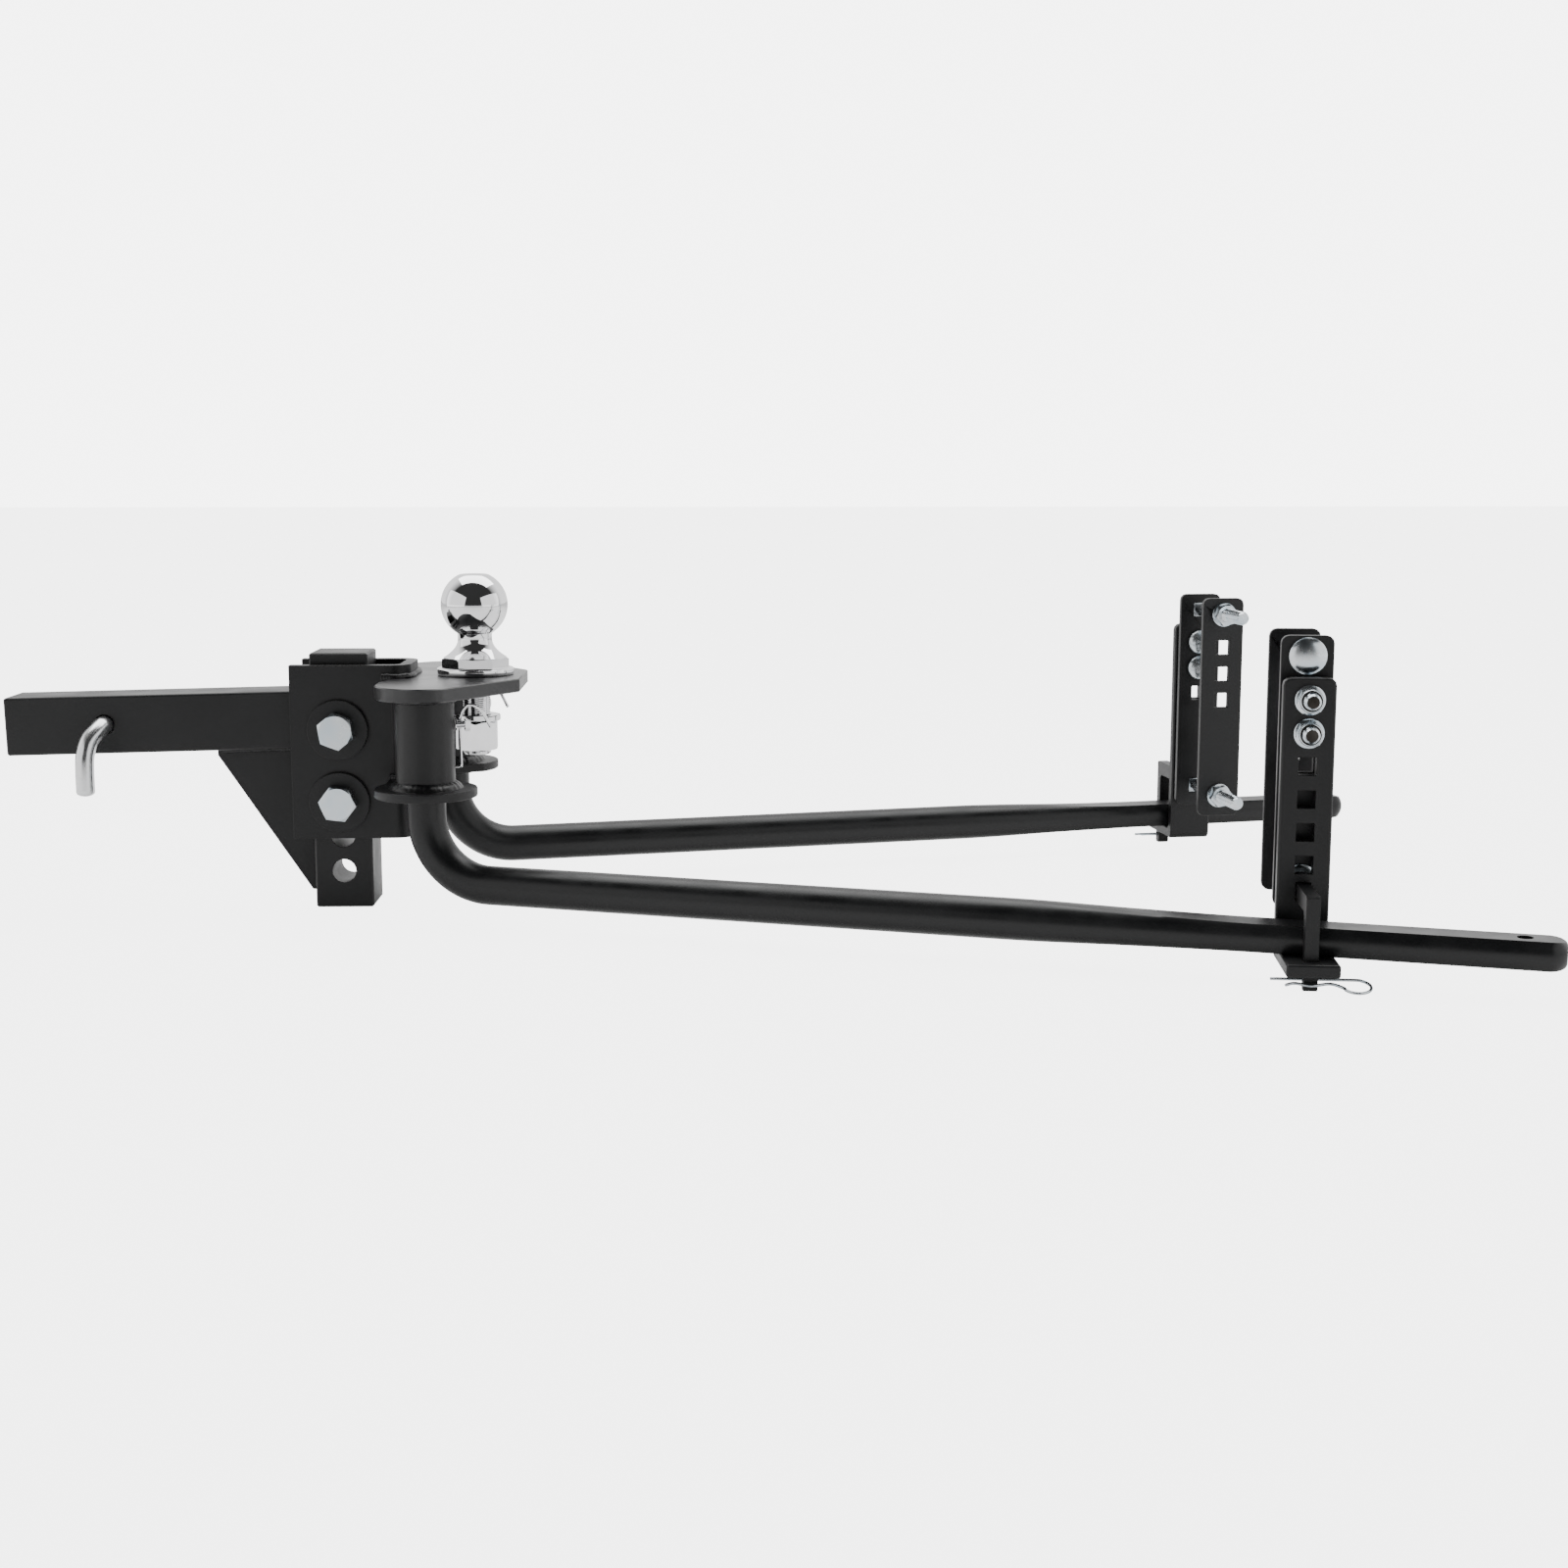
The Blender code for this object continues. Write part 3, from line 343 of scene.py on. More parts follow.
def add_skin(work, rings, caps=True, loop=False):
    """Joins rings of points with quads, and closes the ends with flat caps or joins them in a loop."""
    loops = [[work.verts.new(point) for point in ring] for ring in rings]
    pairs = list(zip(loops, loops[1:]))
    if loop:
        pairs.append((loops[-1], loops[0]))
    count = len(loops[0])
    for first, second in pairs:
        for index in range(count):
            after = (index + 1) % count
            work.faces.new((first[index], first[after], second[after], second[index]))
    if caps and not loop:
        work.faces.new(list(reversed(loops[0])))
        work.faces.new(loops[-1])


def add_lathe(work, profile, sides, loop=False):
    """Turns (radius, height) pairs about Z."""
    rings = []
    for radius, height in profile:
        ring = []
        for step in range(sides):
            angle = 2 * math.pi * step / sides
            ring.append(Vector((radius * math.cos(angle), radius * math.sin(angle), height)))
        rings.append(ring)
    add_skin(work, rings, loop=loop)


def add_thread(work, radius, low, high, pitch, sides=THREAD_SIDES):
    """A threaded rod along Z with a chamfer at its high end."""
    depth = pitch * THREAD_DEPTH
    rows = int((high - low) / pitch * ROWS_PER_TURN)
    rings = []
    for row in range(rows + 1):
        height = low + (high - low) * row / rows
        limit = radius - max(0.0, pitch - (high - height)) * THREAD_CHAMFER
        ring = []
        for step in range(sides):
            angle = 2 * math.pi * step / sides
            crest = abs(2 * ((height / pitch - step / sides) % 1.0) - 1)
            cut = depth * min(1.0, max(0.0, CREST_SLOPE * crest - CREST_FLAT))
            reach = min(radius - cut, limit)
            ring.append(Vector((reach * math.cos(angle), reach * math.sin(angle), height)))
        rings.append(ring)
    add_skin(work, rings)


def add_hex(work, corner, low, high, turn=0.0, bore=0.0, chamfer_low=True, chamfer_high=True):
    """A hex prism along Z whose corners are chamfered by a cone, as on a nut or a bolt head."""
    half_side = math.pi / 6
    flat = corner * math.cos(half_side)
    seat = flat * HEX_SEAT
    outline = []
    for step in range(HEX_STEPS):
        angle = 2 * math.pi * step / HEX_STEPS
        inside = (angle + half_side) % (2 * half_side) - half_side
        way = Vector((math.cos(angle + turn), math.sin(angle + turn), 0))
        outline.append((way, flat / math.cos(abs(inside) - half_side)))

    def round_ring(radius, height):
        return [way * radius + Vector((0, 0, height)) for way, _ in outline]

    def hex_ring(height, slope):
        return [way * reach + Vector((0, 0, height + (reach - seat) * slope)) for way, reach in outline]

    rings = []
    if bore:
        rings.append(round_ring(bore, low))
    if chamfer_low:
        rings.append(round_ring(seat, low))
    rings.append(hex_ring(low, HEX_CHAMFER * chamfer_low))
    rings.append(hex_ring(high, -HEX_CHAMFER * chamfer_high))
    if chamfer_high:
        rings.append(round_ring(seat, high))
    if bore:
        rings.append(round_ring(bore, high))
    add_skin(work, rings, caps=not bore, loop=bool(bore))


def smooth_path(points, per_span):
    """A Catmull-Rom curve through the points."""
    ends = [2 * points[0] - points[1], *points, 2 * points[-1] - points[-2]]
    made = []
    for a, b, c, d in zip(ends, ends[1:], ends[2:], ends[3:]):
        for step in range(per_span):
            t = step / per_span
            bend = (2 * a - 5 * b + 4 * c - d) * t**2 + (3 * b - a - 3 * c + d) * t**3
            made.append(0.5 * (2 * b + (c - a) * t + bend))
    made.append(points[-1])
    return made


def add_sweep(work, path, radius, sides=WIRE_SIDES, loop=False):
    """A wire along a path. radius is a number, which gives domed ends, or a function of step and angle."""
    count = len(path)
    side = None
    rings = []
    for index, point in enumerate(path):
        before = path[index - 1] if index or loop else point
        after = path[(index + 1) % count] if index + 1 < count or loop else point
        ahead = (after - before).normalized()
        if side is None:
            side = ahead.orthogonal().normalized()
        side = (side - ahead * side.dot(ahead)).normalized()
        up = ahead.cross(side)
        ring = []
        for step in range(sides):
            angle = 2 * math.pi * step / sides
            reach = radius(index, angle) if callable(radius) else radius
            ring.append(point + (side * math.cos(angle) + up * math.sin(angle)) * reach)
        rings.append(ring)
    if not callable(radius):
        first = rounded_end(rings[0], path[0], (path[0] - path[1]).normalized(), radius)
        last = rounded_end(rings[-1], path[-1], (path[-1] - path[-2]).normalized(), radius)
        rings = list(reversed(first)) + rings + last
    add_skin(work, rings, loop=loop)


def rounded_end(ring, centre, ahead, radius):
    """Smaller rings past a wire's end, which round it over."""
    made = []
    for turn in DOME_TURNS:
        angle = math.radians(turn)
        shrunk = [centre + (point - centre) * math.cos(angle) for point in ring]
        made.append([point + ahead * radius * DOME_SHARE * math.sin(angle) for point in shrunk])
    return made


# ---------------------------------------------------------------- plates with rounded edges


def refined(node, width, material):
    """The CAD solid with its sharp edges rounded."""
    work = bmesh.new()
    work.from_mesh(NODES[node].data)
    bmesh.ops.remove_doubles(work, verts=work.verts, dist=1e-6)
    bmesh.ops.dissolve_limit(
        work, angle_limit=math.radians(0.6), verts=work.verts, edges=work.edges, delimit={"NORMAL"}
    )
    sharp = [edge for edge in work.edges if edge.is_manifold and edge.calc_face_angle(0) > EDGE_ANGLE]
    bmesh.ops.bevel(
        work,
        geom=sharp,
        offset=width,
        segments=EDGE_SEGMENTS,
        profile=0.5,
        affect="EDGES",
        clamp_overlap=True,
    )
    flatten(stand_in(node, work, material, smooth=WIRE_ANGLE))


def flatten(piece):
    """Shades the wide faces flat, so that only the rounded edges turn the light."""
    step = piece.modifiers.new("flat_faces", "WEIGHTED_NORMAL")
    step.weight = 100
    step.keep_sharp = True


def make_plates():
    for node, width in HEAD_EDGES.items():
        refined(node, width, POWDER)
    refined("ball_plate", BALL_PLATE_EDGE, GLOSSY_POWDER)
    for level in LEVELS:
        for name in SIDES:
            refined(f"{level}_main_washer_{name}", WASHER_EDGE, POWDER)
    for name in SIDES:
        for part, width in SIDE_EDGES.items():
            refined(f"{name}_{part}", width, POWDER)
        for level in LEVELS:
            refined(f"{name}_{level}_spacer", SPACER_EDGE, ZINC)


# ---------------------------------------------------------------- weld beads


def make_bead(name, path, radius, loop=False):
    """A weld bead: a lumpy rod along the path, with the scales that a weld leaves."""
    lengths = [0.0]
    for first, second in zip(path, path[1:]):
        lengths.append(lengths[-1] + (second - first).length)

    def reach(index, angle):
        spot = path[index] * LUMP_NOISE
        along = lengths[index] + 0.0009 * noise.noise(spot * 0.6)
        ripple = 1 - ((along / WELD_SCALE) % 1.0) ** 2
        lump = noise.noise(spot + Vector((math.cos(angle), math.sin(angle), 0)))
        swell = noise.noise(path[index] * SWELL_NOISE)
        return radius * (0.90 + 0.07 * ripple + 0.16 * lump + 0.22 * swell)

    work = bmesh.new()
    add_sweep(work, path, reach, BEAD_SIDES, loop=loop)
    finish_piece(name, work, WELD_PAINT, "hitch_head", smooth=BEAD_ANGLE)


def make_fillet(name, centre, inner, low, reach):
    """A coned fillet weld where a tube stands on a plate: uneven toes, and scales along its face."""
    rings = []
    for step in range(FILLET_STEPS):
        angle = 2 * math.pi * step / FILLET_STEPS
        way = Vector((math.cos(angle), math.sin(angle), 0))
        swell = 1 + 0.14 * noise.noise(way * 2.3 + centre * 9) + 0.05 * noise.noise(way * 9)
        scale = 0.00013 * math.sin(angle * 23 + 5.0 * noise.noise(way * 3))
        ring = [way * inner + Vector((0, 0, low))]
        for part in range(FILLET_PARTS + 1):
            share = part / FILLET_PARTS
            bulge = 0.0006 * math.sin(math.pi * share) + scale * math.sin(math.pi * share)
            out = inner + reach * swell * (1 - share) + bulge
            ring.append(way * out + Vector((0, 0, low + reach * 0.92 * swell * share + bulge)))
        rings.append([point + Vector((centre.x, centre.y, 0)) for point in ring])
    work = bmesh.new()
    add_skin(work, rings, loop=True)
    finish_piece(name, work, WELD_PAINT, "hitch_head", smooth=FILLET_ANGLE)


def straight(first, second):
    """Even points from one end to the other."""
    first, second = Vector(first), Vector(second)
    count = max(2, int((second - first).length / BEAD_STEP))
    return [first.lerp(second, index / count) for index in range(count + 1)]


def round_path(centre, radius, height, start=0.0, end=360.0):
    """Even points along a level arc, or round a whole circle."""
    count = int(radius * math.radians(abs(end - start)) / BEAD_STEP)
    whole = abs(end - start) >= 360
    made = []
    for index in range(count if whole else count + 1):
        angle = math.radians(start + (end - start) * index / count)
        x = centre.x + radius * math.cos(angle)
        y = centre.y + radius * math.sin(angle)
        made.append(Vector((x, y, height)))
    return made


def weld_gusset(name, side):
    low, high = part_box("gusset")
    face = side * (high.y + 0.0006)
    first = (low.x + 0.004, face, high.z - 0.0035)
    second = (high.x - 0.002, face, high.z - 0.0012)
    make_bead(f"weld_gusset_shank_{name}", straight(first, second), GUSSET_SHANK_BEAD)
    first = (high.x - 0.0006, face, low.z + 0.003)
    second = (high.x - 0.0006, face, high.z - 0.004)
    make_bead(f"weld_gusset_drop_{name}", straight(first, second), GUSSET_DROP_BEAD)


def weld_shank():
    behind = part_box("drop_bar")[0].x
    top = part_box("shank")[1].z + 0.0002
    make_bead("weld_shank_drop_bar", straight((behind, -0.023, top), (behind, 0.023, top)), SHANK_BEAD)


def weld_ball_plate(name, side):
    """The channel's outline, above and below the plate that it stands through."""
    plate_low, plate_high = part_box("ball_plate")
    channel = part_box("head_channel")[1]
    top = plate_high.z + 0.0008
    corner_x = channel.x - CHANNEL_CORNER
    corner_y = side * (channel.y - CHANNEL_CORNER)
    path = straight((channel.x - 0.0245, side * channel.y, top), (corner_x, side * channel.y, top))[:-1]
    path += round_path(Vector((corner_x, corner_y, 0)), CHANNEL_CORNER, top, side * 90, 0)
    path += straight((channel.x, corner_y, top), (channel.x, 0, top))[1:]
    make_bead(f"weld_plate_channel_{name}", path, CHANNEL_BEAD)
    under = [Vector((point.x, point.y, plate_low.z - 0.0006)) for point in path]
    make_bead(f"weld_under_plate_{name}", under, UNDER_PLATE_BEAD)


def weld_socket(name, side):
    """The tube's top and foot, and the lower plate to the tube and to the channel."""
    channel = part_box("head_channel")[1]
    tube_low, tube_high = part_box(f"{name}_socket_tube")
    plate_low, plate_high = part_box(f"{name}_lower_plate")
    centre = (tube_low + tube_high) / 2
    outer = (tube_high.x - tube_low.x) / 2
    path = round_path(centre, outer + 0.0002, tube_high.z - 0.0006)
    make_bead(f"weld_tube_top_{name}", path, TUBE_TOP_BEAD, loop=True)
    make_fillet(f"weld_tube_plate_{name}", centre, outer - 0.0004, plate_high.z - 0.0003, TUBE_FILLET)
    path = round_path(centre, outer - 0.0010, tube_low.z + 0.0006)
    make_bead(f"weld_tube_foot_{name}", path, TUBE_FOOT_BEAD, loop=True)
    for label, height in (("top", plate_high.z + 0.0004), ("foot", plate_low.z - 0.0004)):
        first = (channel.x - 0.019, side * (channel.y + 0.0004), height)
        second = (channel.x - 0.003, side * (channel.y + 0.0012), height)
        make_bead(f"weld_{label}_plate_{name}", straight(first, second), LOWER_PLATE_BEAD)


def make_welds():
    for name, side in SIDES.items():
        weld_gusset(name, side)
    weld_shank()
    for name, side in SIDES.items():
        weld_ball_plate(name, side)
        weld_socket(name, side)


# ---------------------------------------------------------------- tow ball


def make_tow_ball():
    low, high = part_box("tow_ball")
    plate_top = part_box("ball_plate")[1].z
    centre = Vector(((low.x + high.x) / 2, (low.y + high.y) / 2, plate_top))
    middle = high.z - plate_top - BALL_FLAT
    start = math.acos(BALL_FLAT / BALL_RADIUS)
    end = math.pi - math.asin((BALL_NECK + 0.0004) / BALL_RADIUS)
    flat = BALL_RADIUS * math.sin(start)
    profile = [(flat - 0.0012, middle + BALL_FLAT), (flat - 0.0004, middle + BALL_FLAT - 0.00012)]
    for step in range(1, BALL_STEPS + 1):
        angle = start + (end - start) * step / BALL_STEPS
        profile.append((BALL_RADIUS * math.sin(angle), middle + BALL_RADIUS * math.cos(angle)))
    profile.append((BALL_NECK, profile[-1][1] - 0.0006))
    for step in range(FLARE_STEPS + 1):
        t = step / FLARE_STEPS
        radius = BALL_NECK + (BALL_HEX_CORNER * 0.94 - BALL_NECK) * t**FLARE_POWER
        profile.append((radius, FLARE_TOP + (BALL_HEX_TOP - FLARE_TOP) * t))
    profile.append((BALL_HEX_CORNER * 0.80, BALL_HEX_TOP - 0.002))
    work = bmesh.new()
    add_lathe(work, profile, BALL_SIDES)
    base = BALL_FLANGE - 0.0008
    add_hex(work, BALL_HEX_CORNER, base, BALL_HEX_TOP + 0.0008, BALL_HEX_TURN, chamfer_low=False)
    rim = high.x - centre.x
    edge = 0.0007
    flange = [(rim - 0.006, BALL_FLANGE + 0.0002), (rim - 2 * edge, BALL_FLANGE)]
    flange += [(rim - edge * 0.3, BALL_FLANGE - edge), (rim, BALL_FLANGE - 2 * edge)]
    flange += [(rim, 0.0012), (rim - edge, 0.0003)]
    add_lathe(work, flange, BALL_SIDES)
    add_thread_down(work, BALL_SHANK, 0.0, low.z - plate_top, BALL_PITCH)
    stand_in("tow_ball", work, CHROME, Matrix.Translation(centre), ROUND_ANGLE)


def add_thread_down(work, radius, top, bottom, pitch):
    """A threaded rod that ends at its bottom."""
    part = bmesh.new()
    add_thread(part, radius, 0.0, top - bottom, pitch, HEAD_SIDES)
    flip = Matrix.Translation((0, 0, top)) @ Matrix.Rotation(math.pi, 4, "X")
    add_part(work, part, flip)


def add_part(work, part, place):
    """Copies a bmesh into another, placed by a matrix."""
    bmesh.ops.transform(part, matrix=place, verts=part.verts)
    mesh = bpy.data.meshes.new("part")
    part.to_mesh(mesh)
    part.free()
    work.from_mesh(mesh)
    bpy.data.meshes.remove(mesh)


def make_ball_nut():
    low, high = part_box("ball_nut")
    centre = Vector(((low.x + high.x) / 2, (low.y + high.y) / 2, 0))
    work = bmesh.new()
    corner = (high.y - low.y) / 2
    add_hex(work, corner, low.z, high.z, BALL_NUT_TURN, BALL_SHANK + 0.0002)
    stand_in("ball_nut", work, CHROME, Matrix.Translation(centre), FACET_ANGLE)
    low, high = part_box("ball_lock_washer")
    outer = (high.x - low.x) / 2
    inner = BALL_SHANK + 0.0004
    rings = []
    for step in range(LOCK_STEPS + 1):
        angle = math.radians(LOCK_START + LOCK_SWEEP * step / LOCK_STEPS)
        way = Vector((math.cos(angle), math.sin(angle), 0))
        rise = LOCK_LIFT * (step / LOCK_STEPS)
        top = high.z - LOCK_LIFT + rise
        outline = [(inner, low.z + rise), (outer - 0.0006, low.z + rise), (outer, low.z + rise + 0.0006)]
        outline += [(outer, top - 0.0006), (outer - 0.0006, top), (inner, top)]
        rings.append([way * radius + Vector((0, 0, height)) for radius, height in outline])
    work = bmesh.new()
    add_skin(work, rings)
    stand_in("ball_lock_washer", work, CHROME, Matrix.Translation(centre), FACET_ANGLE)


# ---------------------------------------------------------------- bolts and nuts


def make_main_bolts():
    """Hex bolts along +Y: local Z is world +Y, so local Y is world -Z."""
    for level, turn in MAIN_TURN.items():
        low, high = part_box(f"{level}_main_bolt")
        place = Matrix.Translation(((low.x + high.x) / 2, 0, (low.z + high.z) / 2)) @ ALONG_Y
        work = bmesh.new()
        add_hex(work, MAIN_CORNER, low.y, low.y + MAIN_HEAD, -turn, chamfer_high=False)
        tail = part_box(f"{level}_main_nut")[0].y
        add_lathe(work, [(MAIN_RADIUS, low.y + 0.004), (MAIN_RADIUS, tail)], SHANK_SIDES)
        add_thread(work, MAIN_RADIUS, tail - 0.001, high.y, THREE_QUARTER_PITCH)
        stand_in(f"{level}_main_bolt", work, ZINC, place, FACET_ANGLE)
        low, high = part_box(f"{level}_main_nut")
        work = bmesh.new()
        add_hex(work, MAIN_CORNER, low.y, high.y, -turn, MAIN_RADIUS + 0.0001)
        stand_in(f"{level}_main_nut", work, ZINC, place, FACET_ANGLE)


def bracket_turn(name):
    """The bracket's own frame: X along the way that its clip pulls out, Z up."""
    ahead = Vector(JOINTS[f"{name}_retainer_clip_pull"]["axis"]).normalized()
    return Matrix((ahead, Vector((0, 0, 1)).cross(ahead), (0, 0, 1))).transposed()


def axis_place(node, turn, side):
    """A matrix whose Z runs outwards along a bolt, its lowest and highest reach on it, and its radius."""
    low, high = spans(node, turn)
    middle = turn @ Vector(((low.x + high.x) / 2, 0, (low.z + high.z) / 2))
    outward = Matrix.Rotation(math.radians(-90 * side), 4, "X")
    reach = sorted((side * low.y, side * high.y))
    return Matrix.Translation(middle) @ turn.to_4x4() @ outward, reach, (high.x - low.x) / 2


def add_carriage_bolt(work, head, length, thread):
    """Along Z: the domed head ends at its seat at zero, and the shank runs down to -length."""
    profile = []
    steps = 12
    for step in range(steps + 1):
        t = 0.02 + 0.98 * step / steps
        height = CARRIAGE_RIM + (CARRIAGE_HEAD_HEIGHT - CARRIAGE_RIM) * math.sqrt(1 - 0.96 * t * t)
        profile.append((head * t, height))
    profile += [(head, 0.0006), (head - 0.0006, 0.0), (CARRIAGE_RADIUS, 0.0)]
    add_lathe(work, profile, HEAD_SIDES)
    half = SQUARE_NECK / 2
    rings = []
    for height in (0.0005, -0.0050):
        rings.append([Vector((x * half, y * half, height)) for x, y in ((1, 1), (-1, 1), (-1, -1), (1, -1))])
    add_skin(work, rings)
    plain = length - thread
    if plain > 0:
        radius = CARRIAGE_RADIUS - 0.0003
        add_lathe(work, [(radius, 0.0), (radius, -plain - 0.001)], THREAD_SIDES)
    threaded = min(thread, length - 0.004)
    part = bmesh.new()
    add_thread(part, CARRIAGE_RADIUS, 0.0, threaded, HALF_INCH_PITCH)
    add_part(work, part, Matrix.Translation((0, 0, -length + threaded)) @ Matrix.Rotation(math.pi, 4, "X"))


def make_bracket_bolts():
    for name, side in SIDES.items():
        turn = bracket_turn(name)
        for level in LEVELS:
            for kind, thread in BOLT_THREADS.items():
                node = f"{name}_{level}_{kind}_bolt"
                place, (low, high), head = axis_place(node, turn, side)
                work = bmesh.new()
                add_carriage_bolt(work, head, high - low - CARRIAGE_HEAD_HEIGHT, thread)
                if kind == "clamp":
                    place = place @ Matrix.Translation((0, 0, high - CARRIAGE_HEAD_HEIGHT))
                else:
                    seat = Matrix.Translation((0, 0, low + CARRIAGE_HEAD_HEIGHT))
                    place = place @ seat @ Matrix.Rotation(math.pi, 4, "X")
                bolt = stand_in(node, work, ZINC, place, BOLT_ANGLE)
                if kind == "lift":
                    darken_end(bolt, place, high - low - CARRIAGE_HEAD_HEIGHT)
                make_bracket_nut(f"{name}_{level}_{kind}_nut", turn, side, kind == "clamp")


def darken_end(bolt, place, length):
    """The sawn end of a bolt has no plating: its flat cap, inside the bright chamfer."""
    bolt.data.materials.append(BOLT_FACE)
    tip = place @ Vector((0, 0, -length))
    for face in bolt.data.polygons:
        if (face.center - tip).length < 0.0003 and len(face.vertices) == THREAD_SIDES:
            face.material_index = 1


def make_bracket_nut(node, turn, side, inwards):
    """A nut with a round flange at its seat and, on the lift bolts, a locking collar at its top."""
    place, (low, high), radius = axis_place(node, turn, side)
    if inwards:
        place = place @ Matrix.Translation((0, 0, high)) @ Matrix.Rotation(math.pi, 4, "X")
    else:
        place = place @ Matrix.Translation((0, 0, low))
    bore = CARRIAGE_RADIUS + 0.0001
    tall = high - low
    top = tall if inwards else tall - 0.0028
    work = bmesh.new()
    flange = [(bore, 0.0), (radius - 0.0005, 0.0), (radius, 0.0006), (radius, 0.0014)]
    flange += [(radius - 0.0012, 0.0022), (bore, 0.0026)]
    add_lathe(work, flange, HEAD_SIDES, loop=True)
    add_hex(work, NUT_CORNER, 0.0015, top, NUT_TURN, bore)
    if not inwards:
        base = top - 0.001
        collar = [(COLLAR_INNER, base), (COLLAR_OUTER + 0.0004, base), (COLLAR_OUTER + 0.0002, tall - 0.0010)]
        collar += [(COLLAR_OUTER - 0.0003, tall - 0.0002), (COLLAR_OUTER - 0.0008, tall)]
        collar += [(COLLAR_INNER, tall - 0.0006)]
        add_lathe(work, collar, HEAD_SIDES, loop=True)
    flatten(stand_in(node, work, ZINC, place, FACET_ANGLE))
    if not inwards:
        outer = COLLAR_INNER + 0.0001
        insert = [(bore, base), (outer, base), (outer, tall - 0.0010), (bore + 0.0003, tall - 0.0013)]
        work = bmesh.new()
        add_lathe(work, insert, HEAD_SIDES, loop=True)
        finish_piece(f"insert_{node}", work, BOLT_FACE, BODY_OF[node], place, BOLT_ANGLE)


# ---------------------------------------------------------------- pins and clips


def r_clip_path(reach, near, bulge, ring):
    """A hairpin clip in the xy plane: its straight leg lies on the x axis and its ring is at +x."""
    turned = math.radians(248)
    points = [Vector((-reach * 0.88, 0, 0)), Vector((0, 0, 0)), Vector((reach - ring * 1.1, 0, 0))]
    centre = Vector((reach, ring, 0))
    for step in range(13):
        angle = math.radians(-80) + turned * step / 12
        points.append(centre + ring * Vector((math.cos(angle), math.sin(angle), 0)))
    for offset, away in ((0.42, near), (0.0, bulge), (-0.36, near), (-0.58, bulge * 0.95)):
        points.append(Vector((reach * offset, away, 0)))
    return smooth_path(points, 6)


def make_hitch_pin():
    axis = Vector(JOINTS["hitch_pin_swivel"]["pos_m"])
    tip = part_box("hitch_pin")[1].y
    route = [
        Vector((0, tip - 0.0035, 0)),
        Vector((0, 0.02, 0)),
        Vector((0, -0.024, 0)),
        Vector((-0.0015, -0.034, -0.002)),
        Vector((-0.0075, -0.045, -0.011)),
        Vector((-0.0105, -0.0505, -0.024)),
        Vector((-0.0110, -0.052, -0.038)),
        Vector((-0.0110, -0.052, -0.0555)),
    ]
    work = bmesh.new()
    add_sweep(work, smooth_path(route, 8), PIN_RADIUS, SHANK_SIDES)
    stand_in("hitch_pin", work, PIN_ZINC, Matrix.Translation(axis), BOLT_ANGLE)
    low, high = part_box("hitch_pin_clip")
    place = Matrix.Translation((axis.x, (low.y + high.y) / 2, axis.z))
    work = bmesh.new()
    add_sweep(work, r_clip_path(0.030, PIN_RADIUS + 0.0024, PIN_RADIUS + 0.0050, 0.0075), CLIP_WIRE)
    stand_in("hitch_pin_clip", work, ZINC, place @ ALONG_Y, WIRE_ANGLE)


def make_retainer_clips():
    for name, side in SIDES.items():
        turn = bracket_turn(name)
        low, high = spans(f"{name}_retainer", turn)
        out = max(side * low.y, side * high.y) - RETAINER_LEG / 2
        middle = turn @ Vector(((low.x + high.x) / 2, side * out, low.z + 0.0085))
        near = RETAINER_LEG / 2 + 0.0019
        path = [Vector((p.x, side * p.y, p.z)) for p in r_clip_path(0.033, near, near + 0.0035, 0.0105)]
        tilt = Matrix.Rotation(-side * RETAINER_CLIP_TILT, 4, "X")
        work = bmesh.new()
        add_sweep(work, path, CLIP_WIRE)
        place = Matrix.Translation(middle) @ turn.to_4x4() @ tilt
        stand_in(f"{name}_retainer_clip", work, ZINC, place, WIRE_ANGLE)


